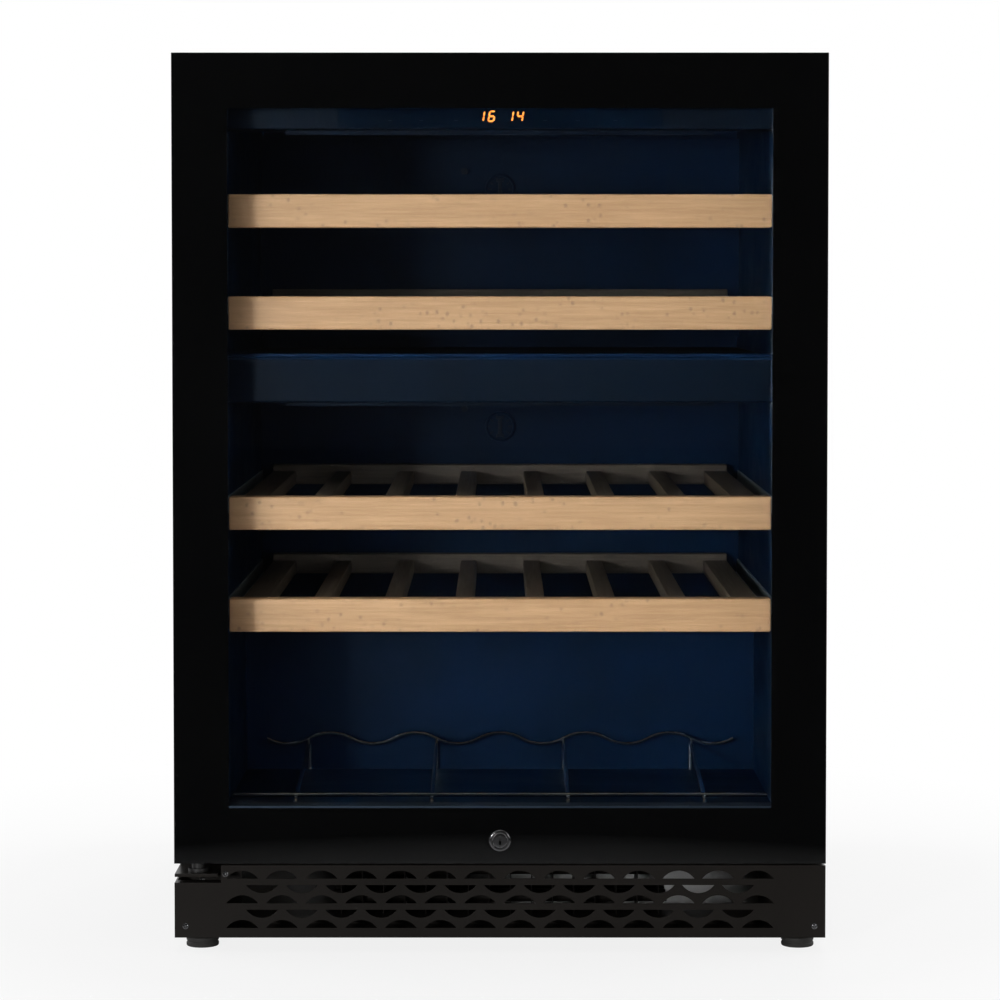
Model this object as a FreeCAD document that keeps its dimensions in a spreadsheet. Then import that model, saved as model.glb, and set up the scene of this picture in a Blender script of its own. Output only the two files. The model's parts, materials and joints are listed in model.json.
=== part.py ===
"""Built-in two-zone wine cooler: case, door, shelves, cooling parts and feet as separate solids.

Millimetres, +Z up. The origin is on the floor under the middle of the cooler; the door faces -Y.
Driving dimensions are in the spreadsheet "sizes", the places worked out from them are in "layout".
"""
import FreeCAD, Part
import math
import os
import re

import Sketcher
from FreeCAD import Rotation, Vector

DRIVING_SIZES = {
    # outside of the cooler
    "cabinet_width": 595.0,
    "cabinet_height": 820.0,
    "cabinet_depth": 575.0,
    # walls of the case
    "steel_sheet": 1.0,
    "foam_wall": 40.0,
    "liner_sheet": 1.5,
    "seal_gap": 13.0,
    "running_gap": 0.3,
    # door
    "door_thickness": 40.0,
    "door_bottom": 82.0,
    "frame_top_drop": 5.0,
    "frame_edge_inset": 0.5,
    "glass_sheet": 4.0,
    "glass_gap": 16.0,
    "window_border": 50.0,
    "window_sill": 54.0,
    "glazing_overlap": 12.0,
    "glazing_clearance": 0.5,
    "bead_setback": 4.0,
    "gasket_width": 10.5,
    "gasket_margin": 2.5,
    # lock in the bottom rail of the door
    "lock_rise": 21.0,
    "lock_rim_radius": 10.0,
    "lock_body_radius": 9.0,
    "lock_barrel_radius": 6.5,
    "lock_rim_proud": 1.2,
    "barrel_recess": 0.5,
    "lock_clearance": 0.05,
    "key_slot_height": 7.0,
    "key_slot_width": 1.6,
    "key_slot_depth": 8.0,
    "cam_reach": 18.0,
    "cam_height": 9.0,
    "cam_sheet": 2.5,
    "cam_standoff": 2.0,
    "keeper_sheet": 1.2,
    "keeper_height": 11.0,
    "keeper_side": 12.0,
    "keeper_lip_reach": 8.0,
    "keeper_foot": 15.0,
    # hinges
    "hinge_side_inset": 20.5,
    "hinge_front_inset": 17.5,
    "pin_radius": 4.0,
    "pin_clearance": 0.04,
    "bush_radius": 6.0,
    "bush_flange_radius": 9.5,
    "bush_flange": 3.0,
    "bush_flange_top": 1.2,
    "bush_reach": 24.0,
    "bracket_sheet": 3.0,
    "bracket_width": 39.5,
    "bracket_drop": 13.0,
    "bracket_leg": 34.0,
    "top_nose_radius": 12.0,
    "top_bracket_left": 9.0,
    "top_bracket_right": 8.0,
    "top_bracket_drop": 0.5,
    # plinth
    "plinth_bottom": 13.5,
    "plinth_gap": 2.0,
    "plinth_sheet": 1.5,
    "plinth_setback": 2.0,
    "plinth_return": 46.0,
    "plinth_flange": 12.0,
    "notch_width": 42.5,
    "notch_drop": 5.0,
    "slot_pitch": 36.25,
    "slot_count": 14.0,
    "slot_width": 29.2,
    "slot_height": 7.4,
    "slot_row_step": 22.7,
    "slot_lowest": 22.4,
    "slot_turned_lowest": 39.2,
    "screw_inset": 10.0,
    "screw_level": 24.0,
    "screw_radius": 2.9,
    "screw_head": 1.2,
    # cavity
    "floor_wall": 41.0,
    "hump_depth": 238.5,
    "hump_height": 142.0,
    "divider_drop": 234.5,
    "divider_height": 42.0,
    "shelf_setback": 9.0,
    "duct_depth": 35.0,
    "duct_sheet": 2.0,
    "duct_slot": 12.0,
    # shelves
    "shelf_one_drop": 99.0,
    "shelf_two_drop": 193.5,
    "shelf_three_drop": 379.5,
    "shelf_four_drop": 474.5,
    "fascia_height": 31.0,
    "fascia_depth": 20.0,
    "fascia_side_gap": 3.0,
    "fascia_round": 3.0,
    "shelf_back_gap": 8.0,
    "slat_width": 17.0,
    "slat_height": 14.0,
    "slat_drop": 1.0,
    "rack_wall_gap": 13.75,
    "slat_count": 8.0,
    "end_rail_width": 25.0,
    "rear_bar_depth": 14.0,
    "rear_bar_rise": 6.0,
    "rear_bar_height": 21.0,
    "rail_sheet": 1.5,
    "rail_reach": 27.0,
    "rail_height": 14.0,
    # control strip and lights
    "control_height": 23.5,
    "control_depth": 48.0,
    "control_wall": 2.0,
    "display_half_width": 150.0,
    "display_sheet": 1.5,
    "board_sheet": 1.6,
    "light_half_length": 200.0,
    "light_depth": 10.0,
    "light_height": 4.0,
    # rear wall fittings
    "fan_size": 92.0,
    "fan_depth": 22.0,
    "fan_ring_radius": 43.0,
    "fan_hub_radius": 17.0,
    "fan_tip_radius": 41.0,
    "fan_blade_width": 14.0,
    "fan_blade_sheet": 1.4,
    "fan_side": 150.0,
    "fan_strut": 5.0,
    "fan_strut_sheet": 3.0,
    "fan_boss_share": 0.28,
    "fan_shaft_radius": 3.0,
    "fan_shaft_length": 6.0,
    "fan_shaft_play": 0.05,
    "fan_shaft_end_gap": 0.3,
    "fan_face_gap": 2.0,
    "fan_hub_gap": 1.0,
    "blade_tip_play": 0.5,
    "blade_root": 1.5,
    "evaporator_half_width": 90.0,
    "evaporator_height": 120.0,
    "evaporator_sheet": 3.0,
    "tube_radius": 4.0,
    "cap_radius": 16.0,
    "cap_depth": 5.0,
    "cap_recess": 2.2,
    "cap_rim": 2.6,
    "grip_length": 22.0,
    "grip_width": 4.0,
    "cap_upper_drop": 65.5,
    "cap_lower_drop": 42.0,
    "sensor_radius": 3.5,
    "sensor_length": 8.0,
    # wire rack on the cavity floor
    "wire_radius": 2.0,
    "wave_period": 85.0,
    "wave_height": 11.0,
    "wave_rise": 33.0,
    "wave_setback": 12.0,
    "rack_side_gap": 5.0,
    "rack_front_gap": 24.0,
    "rack_front_rise": 10.0,
    # base and cooling machinery
    "base_bottom": 14.0,
    "base_sheet": 2.0,
    "compressor_radius": 72.0,
    "compressor_height": 165.0,
    "compressor_across": -120.0,
    "compressor_inset": 122.5,
    "mount_height": 12.0,
    "mount_radius": 9.0,
    "mount_spacing": 120.0,
    "condenser_fan_size": 119.0,
    "condenser_fan_depth": 25.0,
    "condenser_fan_across": 100.0,
    "condenser_ring_radius": 56.0,
    "condenser_tip_radius": 53.5,
    "condenser_hub_radius": 20.0,
    "condenser_half_width": 150.0,
    "condenser_height": 52.0,
    "condenser_depth": 70.0,
    "condenser_setback": 44.5,
    "fin_sheet": 0.8,
    "fin_count": 16.0,
    "tray_width": 150.0,
    "tray_depth": 110.0,
    "tray_height": 26.0,
    "tray_wall": 1.5,
    "pipe_radius": 3.2,
    "inlet_width": 30.0,
    "inlet_height": 24.0,
    "inlet_depth": 24.0,
    "inlet_across": 200.0,
    "inlet_level": 60.0,
    "inlet_recess": 16.0,
    "inlet_wall": 3.0,
    "inlet_collar": 4.0,
    "inlet_collar_sheet": 2.0,
    "contact_pitch": 7.0,
    "contact_sheet": 2.0,
    "contact_height": 4.0,
    "contact_rise": 3.0,
    "contact_drop": 2.0,
    "contact_setback": 6.0,
    "cover_slot_pitch": 14.0,
    "cover_slot_height": 5.0,
    "cover_slot_drop": 40.0,
    "cover_slot_margin": 20.0,
    "cover_slot_middle": 30.0,
    "evaporator_side": -60.0,
    "evaporator_standoff": 14.0,
    "evaporator_margin": 10.0,
    "clip_offset": 70.0,
    "clip_half": 6.0,
    "pin_end_gap": 2.0,
    "overrun": 1.0,
    "air_margin": 57.5,
    # feet
    "foot_radius": 15.0,
    "foot_pad_height": 9.0,
    "foot_neck_radius": 11.0,
    "foot_stem_radius": 4.95,
    "foot_bore_radius": 5.0,
    "foot_stem_top": 48.0,
    "foot_nut_radius": 10.0,
    "foot_nut_height": 10.0,
    "foot_side_inset": 22.5,
    "foot_front_inset": 35.0,
    "foot_back_inset": 37.5,
}

LAYOUT = {
    "half_width": "cabinet_width / 2",
    "front": "-cabinet_depth / 2",
    "back": "cabinet_depth / 2",
    "door_back": "front + door_thickness",
    "case_front": "door_back + seal_gap",
    "side_wall": "steel_sheet + foam_wall + liner_sheet",
    "cavity_half": "half_width - side_wall",
    "cavity_top": "cabinet_height - side_wall",
    "cavity_back": "back - side_wall",
    "cavity_floor": "door_bottom + floor_wall",
    "hump_front": "cavity_back - hump_depth",
    "hump_top": "cavity_floor + hump_height",
    "hump_wall": "foam_wall - liner_sheet",
    "divider_top": "cavity_top - divider_drop",
    "divider_bottom": "divider_top - divider_height",
    "duct_front": "cavity_back - duct_depth",
    "duct_back": "duct_front + duct_sheet",
    "room_front": "hump_front + hump_wall",
    "room_top": "hump_top - hump_wall",
    "shelf_one": "cavity_top - shelf_one_drop",
    "shelf_two": "cavity_top - shelf_two_drop",
    "shelf_three": "cavity_top - shelf_three_drop",
    "shelf_four": "cavity_top - shelf_four_drop",
    "shelf_front": "case_front + shelf_setback",
    "fascia_back": "shelf_front + fascia_depth",
    "fascia_half": "cavity_half - fascia_side_gap",
    "shelf_back": "duct_front - shelf_back_gap",
    "rear_bar_front": "shelf_back - rear_bar_depth",
    "rack_half": "cavity_half - rack_wall_gap",
    "slat_pitch": "(2 * rack_half - slat_width) / (slat_count - 1)",
    "glass_back": "front + glass_sheet",
    "pane_front": "glass_back + glass_gap",
    "pane_back": "pane_front + glass_sheet",
    "window_half": "half_width - window_border",
    "window_bottom": "door_bottom + window_sill",
    "window_top": "cabinet_height - window_border",
    "frame_half": "half_width - frame_edge_inset",
    "frame_bottom": "door_bottom + frame_edge_inset",
    "frame_top": "cabinet_height - frame_top_drop",
    "gasket_inner": "cavity_half + gasket_margin",
    "gasket_outer": "gasket_inner + gasket_width",
    "gasket_bottom": "cavity_floor - gasket_margin - gasket_width",
    "gasket_top": "cavity_top + gasket_margin + gasket_width",
    "hinge_across": "-half_width + hinge_side_inset",
    "hinge_along": "front + hinge_front_inset",
    "bracket_level": "door_bottom - bracket_drop",
    "bracket_top": "bracket_level + bracket_sheet",
    "top_plate_top": "cabinet_height - top_bracket_drop",
    "top_plate_bottom": "top_plate_top - bracket_sheet",
    "plinth_front": "front + plinth_setback",
    "plinth_top": "door_bottom - plinth_gap",
    "notch_bottom": "bracket_level - notch_drop",
    "control_bottom": "cavity_top - control_height",
    "control_back": "shelf_front + control_depth",
    "cap_upper_level": "cavity_top - cap_upper_drop",
    "cap_lower_level": "divider_bottom - cap_lower_drop",
    "fan_front": "duct_back",
    "fan_upper_level": "(divider_top + cavity_top) / 2",
    "fan_lower_level": "(hump_top + divider_bottom) / 2",
    "lock_height": "door_bottom + lock_rise",
    "cam_front": "door_back + cam_standoff",
    "cam_back": "cam_front + cam_sheet",
    "keeper_lip_front": "door_back + running_gap",
    "keeper_bottom": "lock_height - cam_reach - 1",
    "base_top": "base_bottom + base_sheet",
    "compressor_bottom": "base_top + mount_height",
    "compressor_back": "back - compressor_inset",
    "condenser_front": "case_front + condenser_setback",
    "air_half_width": "half_width - air_margin",
    "condenser_fan_level": "base_top + condenser_fan_size / 2",
    "condenser_fan_front": "room_front + 14",
    "foot_across": "half_width - foot_side_inset",
    "foot_front": "front + foot_front_inset",
    "foot_back": "back - foot_back_inset",
    "screw_across": "half_width - screw_inset",
    "rack_wave_back": "hump_front - wave_setback",
    "wave_level": "cavity_floor + wave_rise",
    "rack_front_level": "cavity_floor + rack_front_rise",
    "rack_front_wire": "case_front + rack_front_gap",
    "wire_half": "cavity_half - rack_side_gap",
}

SHELVES = {"shelf_1": "shelf_one", "shelf_2": "shelf_two", "shelf_3": "shelf_three", "shelf_4": "shelf_four"}
FAN_BLADES = 7
BLADE_PITCH = 32
ALONG_Y = Rotation(Vector(1, 0, 0), -90)
UPRIGHT = Rotation()

doc = FreeCAD.newDocument("wine_cooler")
sheet = doc.addObject("Spreadsheet::Sheet", "sizes")
layout = doc.addObject("App::VarSet", "layout")
nodes = []


# ---------------------------------------------------------------- sizes and bindings

def rule(text):
    """Write a rule in plain names as an expression on the spreadsheet and the layout."""
    def owner(match):
        word = match.group()
        if word in DRIVING_SIZES:
            return "sizes." + word
        if word in LAYOUT:
            return "layout." + word
        return word
    return re.sub(r"[a-z][a-z_0-9]*", owner, str(text))


def fill_sheet():
    """Put the driving dimensions in the spreadsheet, and the places that follow in the layout."""
    for row, (name, size) in enumerate(DRIVING_SIZES.items(), start=1):
        sheet.set(f"A{row}", name)
        sheet.set(f"B{row}", str(size))
        sheet.setAlias(f"B{row}", name)
    doc.recompute()
    for name, text in LAYOUT.items():
        layout.addProperty("App::PropertyFloat", name, "places")
        layout.setExpression(name, rule(text))
    doc.recompute()


def size(name):
    """Read a driving dimension or a place as a plain number."""
    if name in DRIVING_SIZES:
        return float(getattr(sheet, name))
    return float(getattr(layout, name))


def bind(thing, **properties):
    """Bind an object's properties to rules."""
    for name, text in properties.items():
        thing.setExpression(name, rule(text))


def place(thing, across, along, up, turn=UPRIGHT):
    """Bind an object's position to three rules, with a fixed turn."""
    thing.Placement = FreeCAD.Placement(Vector(), turn)
    for axis, text in zip("xyz", (across, along, up)):
        thing.setExpression(".Placement.Base." + axis, rule(text))


def node(thing, name):
    """Name a finished sub-part and list it for export."""
    thing.Label = name
    nodes.append(thing)
    return thing


# ---------------------------------------------------------------- shapes used throughout

def block(across, along, up):
    """A box between a low and a high rule on each axis."""
    made = doc.addObject("Part::Box", "block")
    bind(made, Length=f"({across[1]}) - ({across[0]})", Width=f"({along[1]}) - ({along[0]})",
         Height=f"({up[1]}) - ({up[0]})")
    place(made, across[0], along[0], up[0])
    return made


def wide(half):
    """The low and high rules of a span centred on the middle plane."""
    return f"-({half})", half


def rod(radius, length, across, along, up, turn=UPRIGHT):
    """A cylinder that starts at a point and runs along Z, or along the turned Z."""
    made = doc.addObject("Part::Cylinder", "rod")
    bind(made, Radius=radius, Height=length)
    place(made, across, along, up, turn)
    return made


def joined(parts):
    """One solid from several that meet."""
    made = doc.addObject("Part::MultiFuse", "joined")
    made.Shapes = parts
    made.Refine = True
    return made


def gathered(parts):
    """A group of separate solids that share a node."""
    made = doc.addObject("Part::Compound", "gathered")
    made.Links = parts
    return made


def without(base, tools):
    """A solid with one or more others cut out of it."""
    made = doc.addObject("Part::Cut", "without")
    made.Base = base
    made.Tool = tools[0] if len(tools) == 1 else joined(tools)
    made.Refine = True
    return made


def ring(outer_half, inner_half, along, outer_up, inner_up):
    """A rectangular ring that faces the front, such as a door frame."""
    outer = block(wide(outer_half), along, outer_up)
    hole = block(wide(inner_half), (f"{along[0]} - 1", f"{along[1]} + 1"), inner_up)
    return without(outer, [hole])


def origin_plane(body, role):
    """One of a body's own origin planes or axes."""
    return next(item for item in body.Origin.OriginFeatures if item.Role == role)


def sketch_on(body, role, name, offset="0"):
    """A sketch on one of a body's origin planes, moved off it by a rule."""
    made = body.newObject("Sketcher::SketchObject", name)
    made.AttachmentSupport = [(origin_plane(body, role), "")]
    made.MapMode = "FlatFace"
    made.setExpression("AttachmentOffset.Base.z", rule(offset))
    return made


def closed_outline(sketch, corners):
    """A closed outline of straight lines through points given as pairs of rules."""
    lines = []
    for index in range(len(corners)):
        start = Vector(index * 1.0, (index % 2) * 1.0, 0)
        end = Vector(index + 1.0, ((index + 1) % 2) * 1.0, 0)
        lines.append(sketch.addGeometry(Part.LineSegment(start, end)))
    for index, line in enumerate(lines):
        after = lines[(index + 1) % len(lines)]
        sketch.addConstraint(Sketcher.Constraint("Coincident", line, 2, after, 1))
    for line, (across, up) in zip(lines, corners):
        for kind, text in (("DistanceX", across), ("DistanceY", up)):
            mark = sketch.addConstraint(Sketcher.Constraint(kind, -1, 1, line, 1, 1.0))
            sketch.setExpression(f"Constraints[{mark}]", rule(text))


def turned_body(name, corners, role="V_Axis", across="0", along="0", up="0", turn=UPRIGHT):
    """A body made by turning an outline of radius and height about its upright axis."""
    body = doc.addObject("PartDesign::Body", name)
    outline = sketch_on(body, "XZ_Plane", "outline")
    closed_outline(outline, corners)
    spun = body.newObject("PartDesign::Revolution", "spun")
    spun.Profile = outline
    spun.ReferenceAxis = (outline, [role])
    spun.Angle = 360
    place(body, across, along, up, turn)
    return body


# ---------------------------------------------------------------- case

def make_case():
    """Outer sheets, front frame, foam, liners, divider, base tray and rear cover."""
    inside_front = "case_front + steel_sheet"
    inside_back = "back - steel_sheet"
    wall_up = ("base_top", "cabinet_height - steel_sheet")
    node(block(("-half_width", "-half_width + steel_sheet"), (inside_front, inside_back), wall_up),
         "side_panel_left")
    node(block(("half_width - steel_sheet", "half_width"), (inside_front, inside_back), wall_up),
         "side_panel_right")
    node(block(wide("half_width"), ("case_front", "back"), ("cabinet_height - steel_sheet", "cabinet_height")),
         "top_panel")
    node(block(wide("half_width"), (inside_back, "back"), ("room_top", "cabinet_height - steel_sheet")),
         "back_panel")

    frame = block(wide("half_width"), ("case_front", inside_front), ("base_top", "cabinet_height - steel_sheet"))
    cavity_hole = block(wide("cavity_half"), ("case_front - 1", f"{inside_front} + 1"),
                        ("cavity_floor", "cavity_top"))
    air_hole = block(wide("air_half_width"), ("case_front - 1", f"{inside_front} + 1"),
                     ("base_top + 4", "door_bottom - 4"))
    node(without(frame, [cavity_hole, air_hole]), "front_frame")

    foam_half = "half_width - steel_sheet"
    outer = block(wide(foam_half), (inside_front, inside_back), ("door_bottom", "cabinet_height - steel_sheet"))
    wide_half = "cavity_half + liner_sheet"
    upper_void = block(wide(wide_half), (f"{inside_front} - 1", "cavity_back + liner_sheet"),
                       ("hump_top - liner_sheet", "cavity_top + liner_sheet"))
    front_void = block(wide(wide_half), (f"{inside_front} - 1", "hump_front + liner_sheet"),
                       ("cavity_floor - liner_sheet", "hump_top"))
    machine_room = block(wide("cavity_half"), ("room_front", "back + 1"), ("door_bottom - 1", "room_top"))
    node(without(outer, [upper_void, front_void, machine_room]), "insulation_foam")

    upper_shell = block(wide(wide_half), (inside_front, "cavity_back + liner_sheet"),
                        ("divider_top", "cavity_top + liner_sheet"))
    upper_room = block(wide("cavity_half"), (f"{inside_front} - 1", "cavity_back"), ("divider_top - 1", "cavity_top"))
    node(without(upper_shell, [upper_room]), "upper_liner")

    deep_shell = block(wide(wide_half), (inside_front, "cavity_back + liner_sheet"),
                       ("hump_top - liner_sheet", "divider_bottom"))
    low_shell = block(wide(wide_half), (inside_front, "hump_front + liner_sheet"),
                      ("cavity_floor - liner_sheet", "hump_top"))
    deep_room = block(wide("cavity_half"), (f"{inside_front} - 1", "cavity_back"), ("hump_top", "divider_bottom + 1"))
    low_room = block(wide("cavity_half"), (f"{inside_front} - 1", "hump_front"), ("cavity_floor", "hump_top + 1"))
    node(without(joined([deep_shell, low_shell]), [deep_room, low_room]), "lower_liner")

    node(block(wide(wide_half), ("shelf_front", "cavity_back + liner_sheet"), ("divider_bottom", "divider_top")),
         "zone_divider")
    make_base_tray(inside_front, inside_back)
    make_rear_cover()


def foot_places():
    """Where the four feet stand, by name."""
    return {
        "foot_front_left": ("-foot_across", "foot_front"),
        "foot_front_right": ("foot_across", "foot_front"),
        "foot_rear_left": ("-foot_across", "foot_back"),
        "foot_rear_right": ("foot_across", "foot_back"),
    }


def make_base_tray(inside_front, inside_back):
    """Steel tray under the cooler, with side walls up to the foam and a threaded nut at each foot."""
    tray_half = "half_width - plinth_sheet"
    floor = block(wide(tray_half), ("plinth_front + plinth_sheet", inside_back), ("base_bottom", "base_top"))
    walls = [
        block((f"-({tray_half})", f"-({tray_half}) + base_sheet"), (inside_front, inside_back),
              ("base_top", "door_bottom")),
        block((f"{tray_half} - base_sheet", tray_half), (inside_front, inside_back), ("base_top", "door_bottom")),
    ]
    nuts = [rod("foot_nut_radius", "foot_nut_height", across, along, "base_top")
            for across, along in foot_places().values()]
    bores = [rod("foot_bore_radius", "foot_nut_height + base_sheet + 2", across, along, "base_bottom - 1")
             for across, along in foot_places().values()]
    node(without(joined([floor] + walls + nuts), bores), "base_tray")


def make_rear_cover():
    """Sheet over the machine room, with air slots and an opening for the mains inlet."""
    slots_each_side = 5
    sheet_along = ("back - steel_sheet - overrun", "back + overrun")
    cover = block(wide("half_width - steel_sheet"), ("back - steel_sheet", "back"), ("base_top", "room_top"))
    cuts = [block(("inlet_across - inlet_width / 2 - running_gap", "inlet_across + inlet_width / 2 + running_gap"),
                  sheet_along,
                  ("inlet_level - inlet_height / 2 - running_gap", "inlet_level + inlet_height / 2 + running_gap"))]
    for index in range(slots_each_side):
        top = f"room_top - cover_slot_drop - cover_slot_pitch * {index}"
        slot_up = (f"{top} - cover_slot_height", top)
        cuts.append(block(("-cavity_half + cover_slot_margin", "-cover_slot_middle"), sheet_along, slot_up))
        cuts.append(block(("cover_slot_middle", "cavity_half - cover_slot_margin"), sheet_along, slot_up))
    node(without(cover, cuts), "rear_cover")


# ---------------------------------------------------------------- plinth grille

def slot_cut(body, name, lowest, upright, across_start):
    """One D-shaped hole: a straight side and an arc, cut through the plinth sheet."""
    sketch = sketch_on(body, "XZ_Plane", name, "-plinth_front + plinth_sheet")
    half = size("slot_width") / 2
    tall = size("slot_height") * (1 if upright else -1)
    flat = sketch.addGeometry(Part.LineSegment(Vector(-half, 0, 0), Vector(half, 0, 0)))
    arc = sketch.addGeometry(Part.Arc(Vector(half, 0, 0), Vector(0, tall, 0), Vector(-half, 0, 0)))
    start, end = (1, 2) if upright else (2, 1)
    sketch.addConstraint(Sketcher.Constraint("Coincident", flat, 2, arc, start))
    sketch.addConstraint(Sketcher.Constraint("Coincident", flat, 1, arc, end))
    sketch.addConstraint(Sketcher.Constraint("Horizontal", flat))
    sketch.addConstraint(Sketcher.Constraint("Symmetric", flat, 1, flat, 2, -1, 1))
    length = sketch.addConstraint(Sketcher.Constraint("DistanceX", flat, 1, flat, 2, 2 * half))
    sketch.setExpression(f"Constraints[{length}]", rule("slot_width"))
    bend = sketch.addConstraint(Sketcher.Constraint("Radius", arc, (half ** 2 + tall ** 2) / (2 * abs(tall))))
    sketch.setExpression(f"Constraints[{bend}]", rule("(slot_width ^ 2 / 4 + slot_height ^ 2) / (2 * slot_height)"))
    sketch.setExpression("AttachmentOffset.Base.x", rule(across_start))
    sketch.setExpression("AttachmentOffset.Base.y", rule(lowest))
    cut = body.newObject("PartDesign::Pocket", name + "_cut")
    cut.Profile = sketch
    cut.Type = "ThroughAll"
    cut.Midplane = True
    doc.recompute()
    return cut


def repeat_cut(body, cut, name, columns, rows):
    """Repeat a hole across the plinth and up it."""
    many = body.newObject("PartDesign::MultiTransform", name)
    many.Originals = [cut]
    across = body.newObject("PartDesign::LinearPattern", name + "_across")
    across.Direction = (origin_plane(body, "X_Axis"), [""])
    across.Occurrences = columns
    bind(across, Length=f"slot_pitch * {columns - 1}")
    up = body.newObject("PartDesign::LinearPattern", name + "_up")
    up.Direction = (origin_plane(body, "Z_Axis"), [""])
    up.Occurrences = rows
    bind(up, Length=f"slot_row_step * {rows - 1}")
    many.Transformations = [across, up]
    body.Tip = many
    doc.recompute()
    return many


def make_plinth():
    """Folded plinth sheet: front with rows of D-shaped air holes, side returns, top and bottom flanges."""
    body = doc.addObject("PartDesign::Body", "plinth_body")
    front = sketch_on(body, "XZ_Plane", "front_face", "-plinth_front")
    closed_outline(front, [
        ("-half_width", "plinth_bottom"),
        ("half_width", "plinth_bottom"),
        ("half_width", "plinth_top"),
        ("-half_width + notch_width", "plinth_top"),
        ("-half_width + notch_width", "notch_bottom"),
        ("-half_width", "notch_bottom"),
    ])
    pad = body.newObject("PartDesign::Pad", "front_sheet")
    pad.Profile = front
    pad.Reversed = True
    bind(pad, Length="plinth_sheet")
    doc.recompute()
    whole = pad.Shape.Volume
    columns = int(size("slot_count"))
    first = "-slot_pitch * (slot_count - 1) / 2"
    upright = slot_cut(body, "upright_slot", "slot_lowest", True, first)
    repeat_cut(body, upright, "upright_slots", columns, 3)
    turned = slot_cut(body, "turned_slot", "slot_turned_lowest", False, f"{first} + slot_pitch / 2")
    repeat_cut(body, turned, "turned_slots", columns - 1, 2)
    if body.Tip.Shape.Volume > 0.9 * whole:
        raise RuntimeError("the plinth slots are not cut")

    sheet_back = "plinth_front + plinth_sheet"
    returns = [
        block(("-half_width", "-half_width + plinth_sheet"), (sheet_back, "plinth_front + plinth_return"),
              ("plinth_bottom", "notch_bottom")),
        block(("half_width - plinth_sheet", "half_width"), (sheet_back, "plinth_front + plinth_return"),
              ("plinth_bottom", "plinth_top")),
        block(("-half_width + notch_width", "half_width - plinth_sheet"), (sheet_back, f"{sheet_back} + plinth_flange"),
              ("plinth_top - plinth_sheet", "plinth_top")),
        block(("-half_width + plinth_sheet", "-half_width + notch_width"),
              (sheet_back, f"{sheet_back} + plinth_flange"), ("notch_bottom - plinth_sheet", "notch_bottom")),
    ]
    node(joined([body] + returns), "plinth_grille")


def make_case_screws():
    """Round-headed screws: two in the plinth corners, one beside the notch, two in each hinge bracket leg."""
    screws = []
    spots = [("-screw_across", "plinth_front", "screw_level"), ("screw_across", "plinth_front", "screw_level"),
             ("-half_width + notch_width + 4", "plinth_front", "bracket_top")]
    for across, along, up in spots:
        screws.append(rod("screw_radius", "screw_head", across, f"{along} - screw_head", up, ALONG_Y))
    leg_front = "case_front - bracket_sheet - screw_head"
    for up in ("bracket_level - 12", "bracket_level - 26"):
        screws.append(rod("screw_radius", "screw_head", "hinge_across", leg_front, up, ALONG_Y))
    for up in ("top_plate_bottom - 14", "top_plate_bottom - 28"):
        screws.append(rod("screw_radius", "screw_head", "hinge_across", leg_front, up, ALONG_Y))
    node(gathered(screws), "case_screws")


# ---------------------------------------------------------------- hinges

def make_hinges():
    """Brackets with fixed pins on the case, and flanged bushes in the door."""
    leg_along = ("case_front - bracket_sheet", "case_front")
    plate = block(("-half_width", "-half_width + bracket_width"), ("plinth_front + plinth_sheet", "case_front"),
                  ("bracket_level", "bracket_top"))
    leg = block(("-half_width", "-half_width + bracket_width"), leg_along,
                ("bracket_level - bracket_leg", "bracket_level"))
    pin = rod("pin_radius", "frame_bottom + bush_reach - pin_end_gap - bracket_top", "hinge_across", "hinge_along",
              "bracket_top")
    node(joined([plate, leg, pin]), "hinge_bracket_bottom")

    nose = rod("top_nose_radius", "bracket_sheet", "hinge_across", "hinge_along", "top_plate_bottom")
    plate_across = ("hinge_across - top_bracket_left", "hinge_across + top_bracket_right")
    plate = block(plate_across, ("hinge_along", "case_front"), ("top_plate_bottom", "top_plate_top"))
    leg = block(plate_across, leg_along, ("top_plate_bottom - bracket_leg", "top_plate_bottom"))
    pin = rod("pin_radius", "top_plate_bottom - frame_top + bush_reach - pin_end_gap", "hinge_across", "hinge_along",
              "frame_top - bush_reach + pin_end_gap")
    node(joined([nose, plate, leg, pin]), "hinge_bracket_top")

    bore = "pin_radius + pin_clearance"
    low_start = "bracket_top + running_gap"
    lower = turned_body("lower_bush", [
        (bore, low_start),
        ("bush_flange_radius", low_start),
        ("bush_flange_radius", f"{low_start} + bush_flange"),
        ("bush_radius", f"{low_start} + bush_flange"),
        ("bush_radius", "frame_bottom + bush_reach"),
        (bore, "frame_bottom + bush_reach"),
    ], across="hinge_across", along="hinge_along")
    upper = turned_body("upper_bush", [
        (bore, "frame_top - bush_reach"),
        ("bush_radius", "frame_top - bush_reach"),
        ("bush_radius", "frame_top"),
        ("bush_flange_radius", "frame_top"),
        ("bush_flange_radius", "frame_top + bush_flange_top"),
        (bore, "frame_top + bush_flange_top"),
    ], across="hinge_across", along="hinge_along")
    node(gathered([lower, upper]), "door_hinge_bushes")


# ---------------------------------------------------------------- door

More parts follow.
